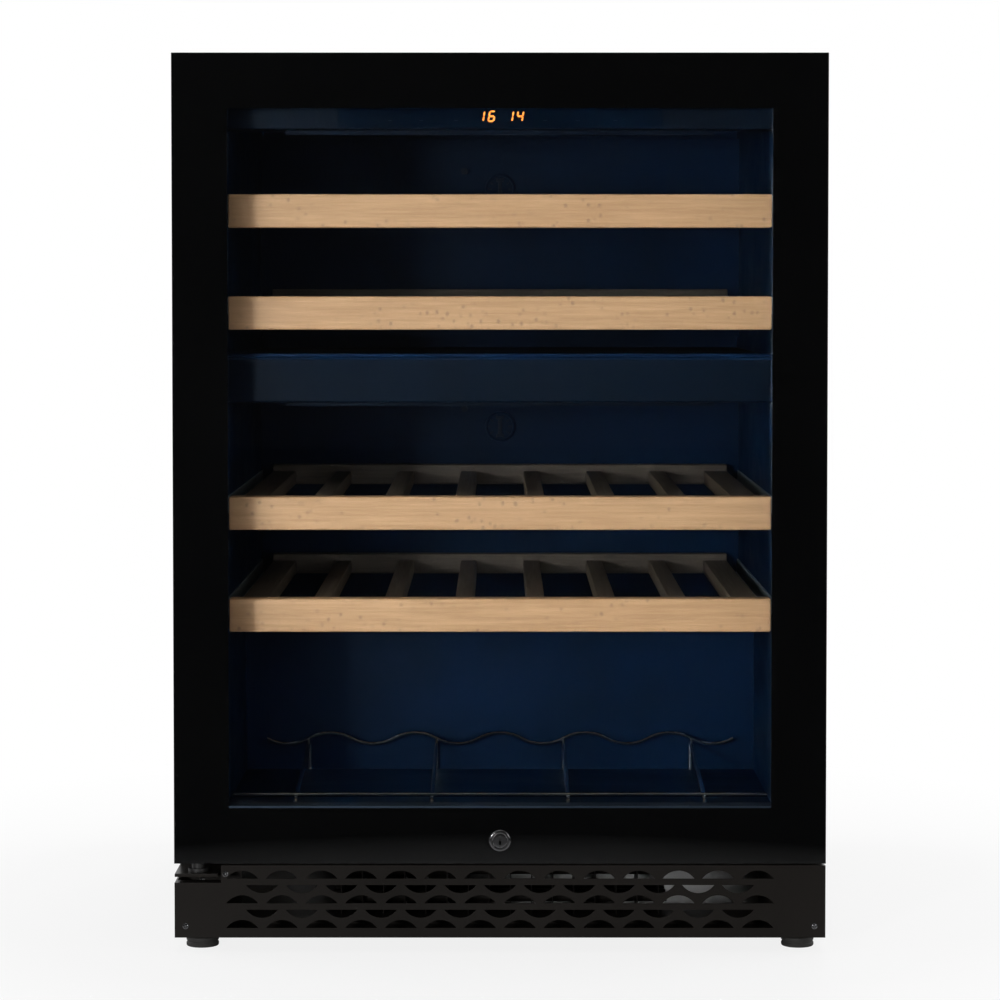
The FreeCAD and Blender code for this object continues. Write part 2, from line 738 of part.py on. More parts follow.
def make_door():
    """Double glazing in a frame, with a gasket on its back."""
    pane = block(wide("half_width"), ("front", "glass_back"), ("door_bottom", "cabinet_height"))
    lock_hole = rod("lock_rim_radius + running_gap", "glass_sheet + 2", "0", "front - 1", "lock_height", ALONG_Y)
    node(without(pane, [lock_hole]), "door_outer_glass")

    spacer_inner = "window_half + 1.5"
    spacer_outer = "window_half + glazing_overlap - 1"
    node(ring(spacer_outer, spacer_inner, ("glass_back", "pane_front"),
              ("window_bottom - glazing_overlap + 1", "window_top + glazing_overlap - 1"),
              ("window_bottom - 1.5", "window_top + 1.5")), "glass_spacer")
    node(block(wide("window_half + glazing_overlap"), ("pane_front", "pane_back"),
               ("window_bottom - glazing_overlap", "window_top + glazing_overlap")), "door_inner_glass")

    body = block(wide("frame_half"), ("glass_back", "door_back"), ("frame_bottom", "frame_top"))
    seat = "glazing_overlap + glazing_clearance"
    pocket = block(wide(f"window_half + {seat}"), ("glass_back - 1", "pane_back"),
                   (f"window_bottom - ({seat})", f"window_top + {seat}"))
    opening = block(wide("window_half + bead_setback"), ("pane_back - 1", "door_back + 1"),
                    ("window_bottom - bead_setback", "window_top + bead_setback"))
    low_bore = rod("bush_radius", "bush_reach + 1", "hinge_across", "hinge_along", "frame_bottom - 1")
    high_bore = rod("bush_radius", "bush_reach + 1", "hinge_across", "hinge_along", "frame_top - bush_reach")
    lock_bore = rod("lock_body_radius", "door_thickness + 2", "0", "glass_back - 1", "lock_height", ALONG_Y)
    node(without(body, [pocket, opening, low_bore, high_bore, lock_bore]), "door_frame")

    node(ring("gasket_outer", "gasket_inner", ("door_back", "case_front - running_gap"),
              ("gasket_bottom", "gasket_top"), ("gasket_bottom + gasket_width", "gasket_top - gasket_width")),
         "door_gasket")


def make_lock():
    """Lock housing in the door, barrel with its key slot and cam, and the keeper on the case."""
    rim = rod("lock_rim_radius", "lock_rim_proud + glass_sheet", "0", "front - lock_rim_proud", "lock_height", ALONG_Y)
    tube = rod("lock_body_radius", "door_back - glass_back", "0", "glass_back", "lock_height", ALONG_Y)
    bore = rod("lock_barrel_radius + lock_clearance", "door_thickness + 10", "0", "front - 5", "lock_height", ALONG_Y)
    node(without(joined([rim, tube]), [bore]), "lock_housing")

    barrel_front = "front - lock_rim_proud + barrel_recess"
    barrel = rod("lock_barrel_radius", f"cam_back - ({barrel_front})", "0", barrel_front, "lock_height", ALONG_Y)
    slot = block(wide("key_slot_width / 2"), (f"{barrel_front} - 1", f"{barrel_front} + key_slot_depth"),
                 ("lock_height - key_slot_height / 2", "lock_height + key_slot_height / 2"))
    cam = block(("0", "cam_reach"), ("cam_front", "cam_back"),
                ("lock_height - cam_height / 2", "lock_height + cam_height / 2"))
    node(joined([without(barrel, [slot]), cam]), "lock_barrel")

    up = ("keeper_bottom", "keeper_bottom + keeper_height")
    lip = block(("-keeper_side", "keeper_lip_reach"), ("keeper_lip_front", "keeper_lip_front + keeper_sheet"), up)
    arm = block(("-keeper_side", "-keeper_side + keeper_sheet"),
                ("keeper_lip_front + keeper_sheet", "case_front - keeper_sheet"), up)
    foot = block(("-keeper_side - keeper_foot", "-keeper_side + keeper_sheet"),
                 ("case_front - keeper_sheet", "case_front"), up)
    node(joined([lip, arm, foot]), "lock_keeper")


# ---------------------------------------------------------------- shelves

def make_shelf(name, level):
    """A shelf: beech front strip, and a slatted rack behind it with a raised rear bar."""
    body = doc.addObject("PartDesign::Body", name + "_front_body")
    outline = sketch_on(body, "YZ_Plane", "section", "-fascia_half")
    low = f"{level} - fascia_height / 2"
    high = f"{level} + fascia_height / 2"
    closed_outline(outline, [
        ("shelf_front", f"{low} + fascia_round"),
        ("shelf_front + fascia_round", low),
        ("fascia_back", low),
        ("fascia_back", high),
        ("shelf_front + fascia_round", high),
        ("shelf_front", f"{high} - fascia_round"),
    ])
    strip = body.newObject("PartDesign::Pad", "strip")
    strip.Profile = outline
    bind(strip, Length="2 * fascia_half")
    node(body, name + "_fascia")

    slat_top = f"{high} - slat_drop"
    slat_up = (f"{slat_top} - slat_height", slat_top)
    rear = block(wide("rack_half"), ("rear_bar_front", "shelf_back"),
                 (f"{high} + rear_bar_rise - rear_bar_height", f"{high} + rear_bar_rise"))
    parts = [rear]
    count = int(size("slat_count"))
    for index in range(count):
        middle = f"slat_pitch * ({index} - (slat_count - 1) / 2)"
        if index == 0:
            across = ("-rack_half", "-rack_half + end_rail_width")
        elif index == count - 1:
            across = ("rack_half - end_rail_width", "rack_half")
        else:
            across = (f"{middle} - slat_width / 2", f"{middle} + slat_width / 2")
        parts.append(block(across, ("fascia_back", "rear_bar_front"), slat_up))
    node(joined(parts), name + "_rack")


def make_shelf_rails():
    """L-shaped steel rails on both side walls, one pair under each shelf."""
    rails = []
    for level in SHELVES.values():
        top = f"{level} + fascia_height / 2 - slat_drop - slat_height - running_gap"
        for side in (-1, 1):
            inner = [f"{side} * (cavity_half - rail_reach)", f"{side} * cavity_half"]
            web = [f"{side} * (cavity_half - rail_sheet)", f"{side} * cavity_half"]
            if side < 0:
                inner.reverse()
                web.reverse()
            along = ("fascia_back + 1.5", "duct_front")
            ledge = block(inner, along, (f"{top} - rail_sheet", top))
            upright = block(web, along, (top, f"{top} + rail_height"))
            rails.append(joined([ledge, upright]))
    node(gathered(rails), "shelf_rails")


# ---------------------------------------------------------------- control strip and lights

def make_controls():
    """Control strip across the top of the cavity, with its board, lens and the light bars."""
    up = ("control_bottom", "cavity_top")
    shell = block(wide("cavity_half"), ("shelf_front", "control_back"), up)
    room = block(wide("display_half_width - 10"), ("shelf_front + control_wall", "control_back - control_wall"),
                 ("control_bottom + control_wall", "cavity_top - control_wall"))
    window = block(wide("display_half_width - 20"), ("shelf_front - 1", "shelf_front + control_wall + 1"),
                   ("control_bottom + 4", "cavity_top - 4"))
    node(without(shell, [room, window]), "control_housing")
    node(block(wide("display_half_width"), ("shelf_front - display_sheet", "shelf_front"),
               ("control_bottom + 1", "cavity_top - 1")), "display_lens")
    board_front = "shelf_front + 8"
    board = block(wide("display_half_width - 14"), (board_front, f"{board_front} + board_sheet"),
                  ("control_bottom + control_wall", "cavity_top - control_wall"))
    digits = block(("-24", "28"), ("shelf_front", board_front), ("control_bottom + 5", "cavity_top - 5"))
    node(joined([board, digits]), "control_board")

    light_along = ("control_back - 12 - light_depth", "control_back - 12")
    lights = [
        block(wide("light_half_length"), light_along, ("control_bottom - light_height", "control_bottom")),
        block(wide("light_half_length"), light_along, ("divider_bottom - light_height", "divider_bottom")),
    ]
    node(gathered(lights), "interior_lights")


# ---------------------------------------------------------------- rear wall of both zones

def zones():
    """Each zone's duct cover, fan level and filter cap level."""
    return {
        "upper": (("divider_top + duct_slot", "cavity_top - duct_slot"), "fan_upper_level", "cap_upper_level"),
        "lower": (("hump_top + duct_slot", "divider_bottom - duct_slot"), "fan_lower_level", "cap_lower_level"),
    }


def fan_frame(across, along, up, width, depth, bore):
    """A square fan frame with a round duct, and four struts that carry the motor boss at its back."""
    strut_along = (f"{along} + {depth} - fan_strut_sheet", f"{along} + {depth}")
    reach = f"({bore} + overrun)"
    frame = block((f"{across} - {width} / 2", f"{across} + {width} / 2"), (along, f"{along} + {depth}"),
                  (f"{up} - {width} / 2", f"{up} + {width} / 2"))
    hole = rod(bore, f"{depth} + 2 * overrun", across, f"{along} - overrun", up, ALONG_Y)
    parts = [
        without(frame, [hole]),
        block((f"{across} - {reach}", f"{across} + {reach}"), strut_along,
              (f"{up} - fan_strut / 2", f"{up} + fan_strut / 2")),
        block((f"{across} - fan_strut / 2", f"{across} + fan_strut / 2"), strut_along,
              (f"{up} - {reach}", f"{up} + {reach}")),
        rod(f"fan_boss_share * {bore}", "fan_strut_sheet", across, strut_along[0], up, ALONG_Y),
        rod("fan_shaft_radius", "fan_shaft_length", across, f"{strut_along[0]} - fan_shaft_length", up, ALONG_Y),
    ]
    return joined(parts)


def fan_rotor(name, across, along, up, depth, hub, tip):
    """A rotor with a hub and pitched blades, bored for the shaft of its motor."""
    front_face = f"{along} + fan_face_gap"
    body_length = f"({depth} - fan_face_gap - fan_strut_sheet - fan_hub_gap)"
    bore_start = f"{along} + {depth} - fan_strut_sheet - fan_shaft_length - fan_shaft_end_gap"
    shaft = rod("fan_shaft_radius + fan_shaft_play", "fan_shaft_length + fan_shaft_end_gap - fan_hub_gap",
                across, bore_start, up, ALONG_Y)
    parts = [without(rod(hub, body_length, across, front_face, up, ALONG_Y), [shaft])]
    pitch = Rotation(Vector(1, 0, 0), BLADE_PITCH)
    centre = (across, f"{front_face} + {body_length} / 2", up)
    for index in range(FAN_BLADES):
        blade = doc.addObject("Part::Box", "blade")
        bind(blade, Length=f"{tip} - {hub} - blade_tip_play", Width="fan_blade_width", Height="fan_blade_sheet")
        turn = Rotation(Vector(0, 1, 0), 360.0 * index / FAN_BLADES).multiply(pitch)
        outward, widthwise, through = (turn.multVec(Vector(*axis)) for axis in ((1, 0, 0), (0, 1, 0), (0, 0, 1)))
        corner = [f"{middle} + ({out}) * ({hub} - blade_root) - ({wide_part}) * fan_blade_width / 2"
                  f" - ({thick_part}) * fan_blade_sheet / 2"
                  for middle, out, wide_part, thick_part in zip(centre, outward, widthwise, through)]
        place(blade, *corner, turn)
        parts.append(blade)
    node(joined(parts), name)


def make_rear_wall():
    """Duct covers, evaporators, fans, filter sockets with their caps, and sensors."""
    covers, plates, frames, sockets, sensors = [], [], [], [], []
    for zone, (span, fan_level, cap_level) in zones().items():
        cover = block(wide("cavity_half"), ("duct_front", "duct_back"), span)
        hole = rod("cap_radius - cap_rim", "duct_sheet + 2", "0", "duct_front - 1", cap_level, ALONG_Y)
        covers.append(without(cover, [hole]))
        plates.append(make_evaporator(fan_level))
        frames.append(fan_frame("fan_side", "fan_front", fan_level, "fan_size", "fan_depth", "fan_ring_radius"))
        fan_rotor("fan_rotor_" + zone, "fan_side", "fan_front", fan_level, "fan_depth", "fan_hub_radius",
                  "fan_tip_radius")
        sockets.append(filter_socket(cap_level))
        filter_cap("filter_cap_" + zone, cap_level)
        sensors.append(rod("sensor_radius", "sensor_length", "-38", "duct_front - sensor_length",
                           f"{cap_level} + 19", ALONG_Y))
    node(gathered(covers), "duct_covers")
    node(gathered(plates), "evaporators")
    node(gathered(frames), "circulation_fan_frames")
    node(gathered(sockets), "filter_sockets")
    node(gathered(sensors), "temperature_sensors")


def make_evaporator(level):
    """A roll-bonded plate with the refrigerant channels raised on it, clipped to the back of the cavity."""
    plate_front = "cavity_back - evaporator_standoff"
    left = "evaporator_side - evaporator_half_width"
    parts = [block((left, "evaporator_side + evaporator_half_width"),
                   (plate_front, f"{plate_front} + evaporator_sheet"),
                   (f"{level} - evaporator_height / 2", f"{level} + evaporator_height / 2"))]
    channels = 5
    along_x = Rotation(Vector(0, 1, 0), 90)
    for index in range(channels):
        up = f"{level} + evaporator_height * {(index - (channels - 1) / 2) / channels}"
        parts.append(rod("tube_radius", "2 * (evaporator_half_width - evaporator_margin)",
                         f"{left} + evaporator_margin", f"{plate_front} + evaporator_sheet", up, along_x))
    for side_sign in (-1, 1):
        middle = f"evaporator_side + {side_sign} * clip_offset"
        parts.append(block((f"{middle} - clip_half", f"{middle} + clip_half"), (plate_front, "cavity_back"),
                           (f"{level} - clip_half", f"{level} + clip_half")))
    return joined(parts)


def filter_socket(level):
    """Ring on the duct cover that the filter cap turns in, with the filter cup behind it."""
    rim = "cap_radius - cap_rim"
    cup = rod(rim, "duct_sheet + 14", "0", "duct_front", level, ALONG_Y)
    room = rod("cap_radius - cap_rim - 2", "duct_sheet + 13", "0", "duct_front - 1", level, ALONG_Y)
    return without(cup, [room])


def filter_cap(name, level):
    """Twist cap: a dished disc with a rim, a grip bar across it and a spigot into its socket."""
    front = "duct_front - running_gap - cap_depth"
    disc = rod("cap_radius", "cap_depth", "0", front, level, ALONG_Y)
    dish = rod("cap_radius - cap_rim", "cap_recess + 1", "0", f"{front} - 1", level, ALONG_Y)
    grip = block(wide("grip_width / 2"), (front, f"{front} + cap_recess + 0.5"),
                 (f"{level} - grip_length / 2", f"{level} + grip_length / 2"))
    ends = [block(wide("grip_width"), (front, f"{front} + cap_recess + 0.5"),
                  (f"{level} + {sign} * grip_length / 2 - 1.5", f"{level} + {sign} * grip_length / 2 + 1.5"))
            for sign in (-1, 1)]
    spigot = rod("cap_radius - cap_rim - 2 - running_gap", "8", "0", f"{front} + cap_depth", level, ALONG_Y)
    node(joined([without(disc, [dish]), grip, spigot] + ends), name)


# ---------------------------------------------------------------- wire rack

def swept(path, radius):
    """A round wire or pipe along a path of tangent edges."""
    start = path.Edges[0]
    heading = start.tangentAt(start.FirstParameter)
    section = Part.Wire([Part.makeCircle(radius, start.valueAt(start.FirstParameter), heading)])
    return path.makePipeShell([section], True, True)


def rounded_path(points, bend):
    """Straight runs joined by tangent arcs of one radius."""
    edges = []
    start = points[0]
    for before, corner, after in zip(points, points[1:], points[2:]):
        entering = (corner - before).normalize()
        leaving = (after - corner).normalize()
        turn = entering.getAngle(leaving)
        cut = bend * math.tan(turn / 2)
        arc_start = corner - entering * cut
        arc_end = corner + leaving * cut
        inward = (leaving - entering).normalize()
        middle = corner + inward * (bend / math.cos(turn / 2) - bend)
        edges.append(Part.LineSegment(start, arc_start).toShape())
        edges.append(Part.Arc(arc_start, middle, arc_end).toShape())
        start = arc_end
    edges.append(Part.LineSegment(start, points[-1]).toShape())
    return Part.Wire(edges)


def make_wire_rack():
    """Chromed wire cradle: a wavy cross wire at the back, a straight one in front, bent runners under both."""
    radius = size("wire_radius")
    half = size("wire_half")
    back = size("rack_wave_back")
    front = size("rack_front_wire")
    level = size("wave_level")
    front_level = size("rack_front_level")
    floor = size("cavity_floor")
    half_period = size("wave_period") / 2
    amplitude = size("wave_height") / 2
    weld_depth = 0.2 * radius
    overhang = 4 * radius
    half_waves = int(2 * half // half_period)
    start = -half_waves * half_period / 2
    arcs = []
    for index in range(half_waves):
        left = start + index * half_period
        bulge = amplitude if index % 2 else -amplitude
        arcs.append(Part.Arc(Vector(left, back, level), Vector(left + half_period / 2, back, level + bulge),
                             Vector(left + half_period, back, level)).toShape())
    pieces = [swept(Part.Wire(arcs), radius)]
    pieces.append(Part.makeCylinder(radius, 2 * half, Vector(-half, front, front_level), Vector(1, 0, 0)))

    drop = 2 * radius - weld_depth
    slope = (level - front_level) / (back - front)
    runner_count = 4
    for index in range(runner_count):
        across = start + half_period * round(half_waves * (index + 0.5) / runner_count)
        back_end = Vector(across, back + overhang, level - drop + slope * overhang)
        front_end = Vector(across, front - overhang, front_level - drop - slope * overhang)
        runner = [Vector(across, back_end.y, floor), back_end, front_end, Vector(across, front_end.y, floor)]
        pieces.append(swept(rounded_path(runner, 1.4 * radius), radius))
    rack = doc.addObject("Part::Feature", "wire_rack_shape")
    rack.Shape = pieces[0].multiFuse(pieces[1:])
    rack.Placement = FreeCAD.Placement()
    node(rack, "wire_rack")


# ---------------------------------------------------------------- cooling machinery

def make_machinery():
    """Compressor on its rubber mounts, condenser with its fan, drip tray, pipes and mains inlet."""
    shell_top = "compressor_bottom + compressor_height"
    dome = turned_body("compressor_shell", [
        ("0", "compressor_bottom"),
        ("compressor_radius - 14", "compressor_bottom"),
        ("compressor_radius", "compressor_bottom + 14"),
        ("compressor_radius", f"{shell_top} - 34"),
        ("compressor_radius - 12", f"{shell_top} - 14"),
        ("compressor_radius - 34", shell_top),
        ("0", shell_top),
    ], across="compressor_across", along="compressor_back")
    plate_half = "mount_spacing / 2 + 12"
    plate = block((f"compressor_across - ({plate_half})", f"compressor_across + {plate_half}"),
                  ("compressor_back - 50", "compressor_back + 50"), ("compressor_bottom", "compressor_bottom + 3"))
    relay = block(("compressor_across + compressor_radius - 8", "compressor_across + compressor_radius + 26"),
                  ("compressor_back - 22", "compressor_back + 22"),
                  ("compressor_bottom + 60", "compressor_bottom + 110"))
    node(joined([dome, plate, relay]), "compressor")

    mounts = [rod("mount_radius", "mount_height", f"compressor_across + {side} * mount_spacing / 2",
                  f"compressor_back + {end} * 36", "base_top") for side in (-1, 1) for end in (-1, 1)]
    node(gathered(mounts), "compressor_mounts")

    node(fan_frame("condenser_fan_across", "condenser_fan_front", "condenser_fan_level", "condenser_fan_size",
                   "condenser_fan_depth", "condenser_ring_radius"), "condenser_fan_frame")
    fan_rotor("condenser_fan_rotor", "condenser_fan_across", "condenser_fan_front", "condenser_fan_level",
              "condenser_fan_depth", "condenser_hub_radius", "condenser_tip_radius")
    make_condenser()
    make_drip_tray()
    make_pipes()
    make_inlet()


def make_condenser():
    """Tube and fin condenser that stands in the air path behind the plinth."""
    base = "base_top"
    along = ("condenser_front", "condenser_front + condenser_depth")
    count = int(size("fin_count"))
    fins = []
    for index in range(count):
        middle = f"condenser_half_width * {2 * index / (count - 1) - 1}"
        fins.append(block((f"{middle} - fin_sheet / 2", f"{middle} + fin_sheet / 2"), along,
                          (base, f"{base} + condenser_height")))
    along_x = Rotation(Vector(0, 1, 0), 90)
    tubes = []
    for row in (0.25, 0.75):
        for depth in (0.2, 0.5, 0.8):
            tubes.append(rod("tube_radius", "2 * condenser_half_width + 16", "-condenser_half_width - 8",
                             f"condenser_front + condenser_depth * {depth}",
                             f"{base} + condenser_height * {row}", along_x))
    node(joined(fins + tubes), "condenser")


def make_drip_tray():
    """Open tray on the base that catches the defrost water."""
    across = ("condenser_fan_across - tray_width / 2 + 20", "condenser_fan_across + tray_width / 2 + 20")
    along = ("condenser_fan_front + condenser_fan_depth + 8",
             "condenser_fan_front + condenser_fan_depth + 8 + tray_depth")
    outer = block(across, along, ("base_top", "base_top + tray_height"))
    inner = block((f"{across[0]} + tray_wall", f"{across[1]} - tray_wall"),
                  (f"{along[0]} + tray_wall", f"{along[1]} - tray_wall"),
                  ("base_top + tray_wall", "base_top + tray_height + 1"))
    node(without(outer, [inner]), "drip_tray")


def make_pipes():
    """Copper pipes: compressor to condenser, and compressor up to the rear wall."""
    radius = size("pipe_radius")
    bend = 5 * radius
    side = size("compressor_across")
    middle = size("compressor_back")
    shell = size("compressor_radius")
    low = size("compressor_bottom") + 45
    across = side - 30
    bend_along = size("room_front") + 14
    tube_level = size("base_top") + 0.75 * size("condenser_height")
    fins_back = size("condenser_front") + size("condenser_depth")
    discharge = [
        Vector(across, middle - math.sqrt(shell ** 2 - 30 ** 2) - radius / 2, low),
        Vector(across, bend_along, low),
        Vector(across, bend_along, tube_level),
        Vector(across, fins_back, tube_level),
    ]
    suction = [
        Vector(side - shell, middle, low),
        Vector(side - shell - 34, middle, low),
        Vector(side - shell - 34, middle, size("room_top")),
    ]
    pipes = [swept(rounded_path(route, bend), radius) for route in (discharge, suction)]
    made = doc.addObject("Part::Feature", "refrigerant_pipes_shape")
    made.Shape = Part.makeCompound(pipes)
    made.Placement = FreeCAD.Placement()
    node(made, "refrigerant_pipes")


def make_inlet():
    """Mains inlet in the rear cover: a box with a recess and three contact blades."""
    across = ("inlet_across - inlet_width / 2", "inlet_across + inlet_width / 2")
    up = ("inlet_level - inlet_height / 2", "inlet_level + inlet_height / 2")
    box = block(across, ("back - inlet_depth", "back"), up)
    recess = block((f"{across[0]} + inlet_wall", f"{across[1]} - inlet_wall"),
                   ("back - inlet_recess", "back + overrun"),
                   (f"{up[0]} + inlet_wall", f"{up[1]} - inlet_wall"))
    contacts = []
    for side_sign, lift in ((-1, "-contact_drop"), (0, "contact_rise"), (1, "-contact_drop")):
        middle = f"inlet_across + {side_sign} * contact_pitch"
        level = f"inlet_level + {lift}"
        contacts.append(block((f"{middle} - contact_sheet / 2", f"{middle} + contact_sheet / 2"),
                              ("back - inlet_recess - overrun", "back - contact_setback"),
                              (f"{level} - contact_height / 2", f"{level} + contact_height / 2")))
    collar = block((f"{across[0]} - inlet_collar", f"{across[1]} + inlet_collar"),
                   ("back - steel_sheet - inlet_collar_sheet", "back - steel_sheet"),
                   (f"{up[0]} - inlet_collar", f"{up[1]} + inlet_collar"))
    node(joined([without(joined([box, collar]), [recess])] + contacts), "power_inlet")


# ---------------------------------------------------------------- feet

def make_feet():
    """Four screw feet, each with a pad, a neck and a stem in the base tray's nut."""
    shoulder = "base_bottom - running_gap"
    for name, (across, along) in foot_places().items():
        foot = turned_body(name + "_body", [
            ("0", "0"),
            ("foot_radius - 1", "0"),
            ("foot_radius", "1"),
            ("foot_radius", "foot_pad_height"),
            ("foot_neck_radius", "foot_pad_height"),
            ("foot_neck_radius", shoulder),
            ("foot_stem_radius", shoulder),
            ("foot_stem_radius", "foot_stem_top"),
            ("0", "foot_stem_top"),
        ], across=across, along=along)
        node(foot, name)


# ---------------------------------------------------------------- build, check and write

def check_and_write():
    """Stop on any failed object or bad shape, then write one STEP file for each sub-part."""
    doc.recompute()
    for thing in doc.Objects:
        if "Invalid" in thing.State or "Error" in thing.State:
            raise RuntimeError(f"{thing.Name} ({thing.Label}) failed: {thing.State}")
    for thing in nodes:
        if thing.Shape.isNull() or not thing.Shape.isValid() or not thing.Shape.Solids:
            raise RuntimeError(f"{thing.Label} has no valid solid")
    os.makedirs("parts", exist_ok=True)
    for thing in nodes:
        thing.Shape.exportStep(f"parts/{thing.Label}.step")
    print(len(nodes), "sub-parts written")


fill_sheet()
make_case()
make_plinth()
make_case_screws()
make_hinges()
make_door()
make_lock()
for shelf_name, shelf_level in SHELVES.items():
    make_shelf(shelf_name, shelf_level)
make_shelf_rails()
make_controls()
make_rear_wall()
make_wire_rack()
make_machinery()
make_feet()
check_and_write()
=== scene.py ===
"""Looks of a built-in two-zone wine cooler: full-glass door, beech shelves, wire rack and perforated plinth."""
import sys
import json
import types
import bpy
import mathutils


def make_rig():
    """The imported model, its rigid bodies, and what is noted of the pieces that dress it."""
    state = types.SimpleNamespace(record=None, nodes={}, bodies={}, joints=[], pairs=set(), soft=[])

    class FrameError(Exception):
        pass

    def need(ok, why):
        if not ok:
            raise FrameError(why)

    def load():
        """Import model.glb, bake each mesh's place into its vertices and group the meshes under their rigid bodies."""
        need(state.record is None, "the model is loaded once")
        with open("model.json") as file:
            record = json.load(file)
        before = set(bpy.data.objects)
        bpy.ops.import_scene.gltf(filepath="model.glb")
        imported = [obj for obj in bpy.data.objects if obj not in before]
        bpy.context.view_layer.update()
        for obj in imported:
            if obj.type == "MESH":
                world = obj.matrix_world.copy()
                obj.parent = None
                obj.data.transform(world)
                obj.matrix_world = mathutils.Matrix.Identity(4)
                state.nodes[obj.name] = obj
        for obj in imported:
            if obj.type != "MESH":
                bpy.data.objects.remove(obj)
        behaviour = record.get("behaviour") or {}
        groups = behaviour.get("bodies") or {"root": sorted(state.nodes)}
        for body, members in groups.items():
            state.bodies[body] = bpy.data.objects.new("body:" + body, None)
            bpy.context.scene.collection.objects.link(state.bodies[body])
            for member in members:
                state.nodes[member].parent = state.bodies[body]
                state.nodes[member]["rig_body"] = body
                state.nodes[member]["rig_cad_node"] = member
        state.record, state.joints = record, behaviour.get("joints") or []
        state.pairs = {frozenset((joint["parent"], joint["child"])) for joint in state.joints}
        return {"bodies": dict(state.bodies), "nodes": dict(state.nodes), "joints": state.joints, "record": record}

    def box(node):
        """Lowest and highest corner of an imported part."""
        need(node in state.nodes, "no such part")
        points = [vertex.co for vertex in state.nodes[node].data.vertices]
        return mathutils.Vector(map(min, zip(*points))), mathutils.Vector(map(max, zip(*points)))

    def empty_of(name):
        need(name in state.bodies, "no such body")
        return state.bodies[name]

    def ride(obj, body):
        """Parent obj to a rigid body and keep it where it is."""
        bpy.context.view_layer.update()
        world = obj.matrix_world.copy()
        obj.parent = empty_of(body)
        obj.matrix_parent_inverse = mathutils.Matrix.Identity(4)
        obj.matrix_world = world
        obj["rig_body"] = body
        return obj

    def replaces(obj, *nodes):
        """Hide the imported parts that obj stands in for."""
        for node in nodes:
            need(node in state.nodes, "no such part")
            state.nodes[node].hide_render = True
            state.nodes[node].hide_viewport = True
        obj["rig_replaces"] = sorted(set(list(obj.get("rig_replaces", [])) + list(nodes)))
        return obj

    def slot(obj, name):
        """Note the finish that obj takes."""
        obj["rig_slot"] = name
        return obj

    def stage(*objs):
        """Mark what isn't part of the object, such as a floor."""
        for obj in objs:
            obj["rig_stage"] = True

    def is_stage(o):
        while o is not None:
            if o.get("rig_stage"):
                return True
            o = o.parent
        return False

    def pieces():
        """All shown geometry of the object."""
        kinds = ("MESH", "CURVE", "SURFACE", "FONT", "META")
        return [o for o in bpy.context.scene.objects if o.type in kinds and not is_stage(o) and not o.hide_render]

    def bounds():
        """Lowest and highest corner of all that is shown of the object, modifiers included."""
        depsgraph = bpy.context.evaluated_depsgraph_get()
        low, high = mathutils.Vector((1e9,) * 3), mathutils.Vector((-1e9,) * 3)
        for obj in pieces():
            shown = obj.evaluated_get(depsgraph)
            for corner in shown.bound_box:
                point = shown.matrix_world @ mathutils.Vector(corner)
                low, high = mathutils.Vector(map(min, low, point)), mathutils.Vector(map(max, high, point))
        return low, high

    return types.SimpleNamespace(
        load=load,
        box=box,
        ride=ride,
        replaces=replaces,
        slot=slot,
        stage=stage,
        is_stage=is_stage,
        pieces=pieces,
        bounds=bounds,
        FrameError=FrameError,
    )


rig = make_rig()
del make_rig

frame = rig.load()

import json
import logging
import math
from dataclasses import dataclass, field
from enum import Enum
from typing import Iterable, Optional, Sequence, Union

import bmesh
import bpy
from mathutils import Matrix, Vector

MM = 0.001
SIZE_FILE = "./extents.json"
FULL_TURN = 2 * math.pi
SHARP_ANGLE = math.radians(32)

Colour = tuple[float, float, float]
Socket = Union[bpy.types.NodeSocket, float, int, Sequence[float]]

log = logging.getLogger("wine_cooler")


# ---------------------------------------------------------------- node graphs

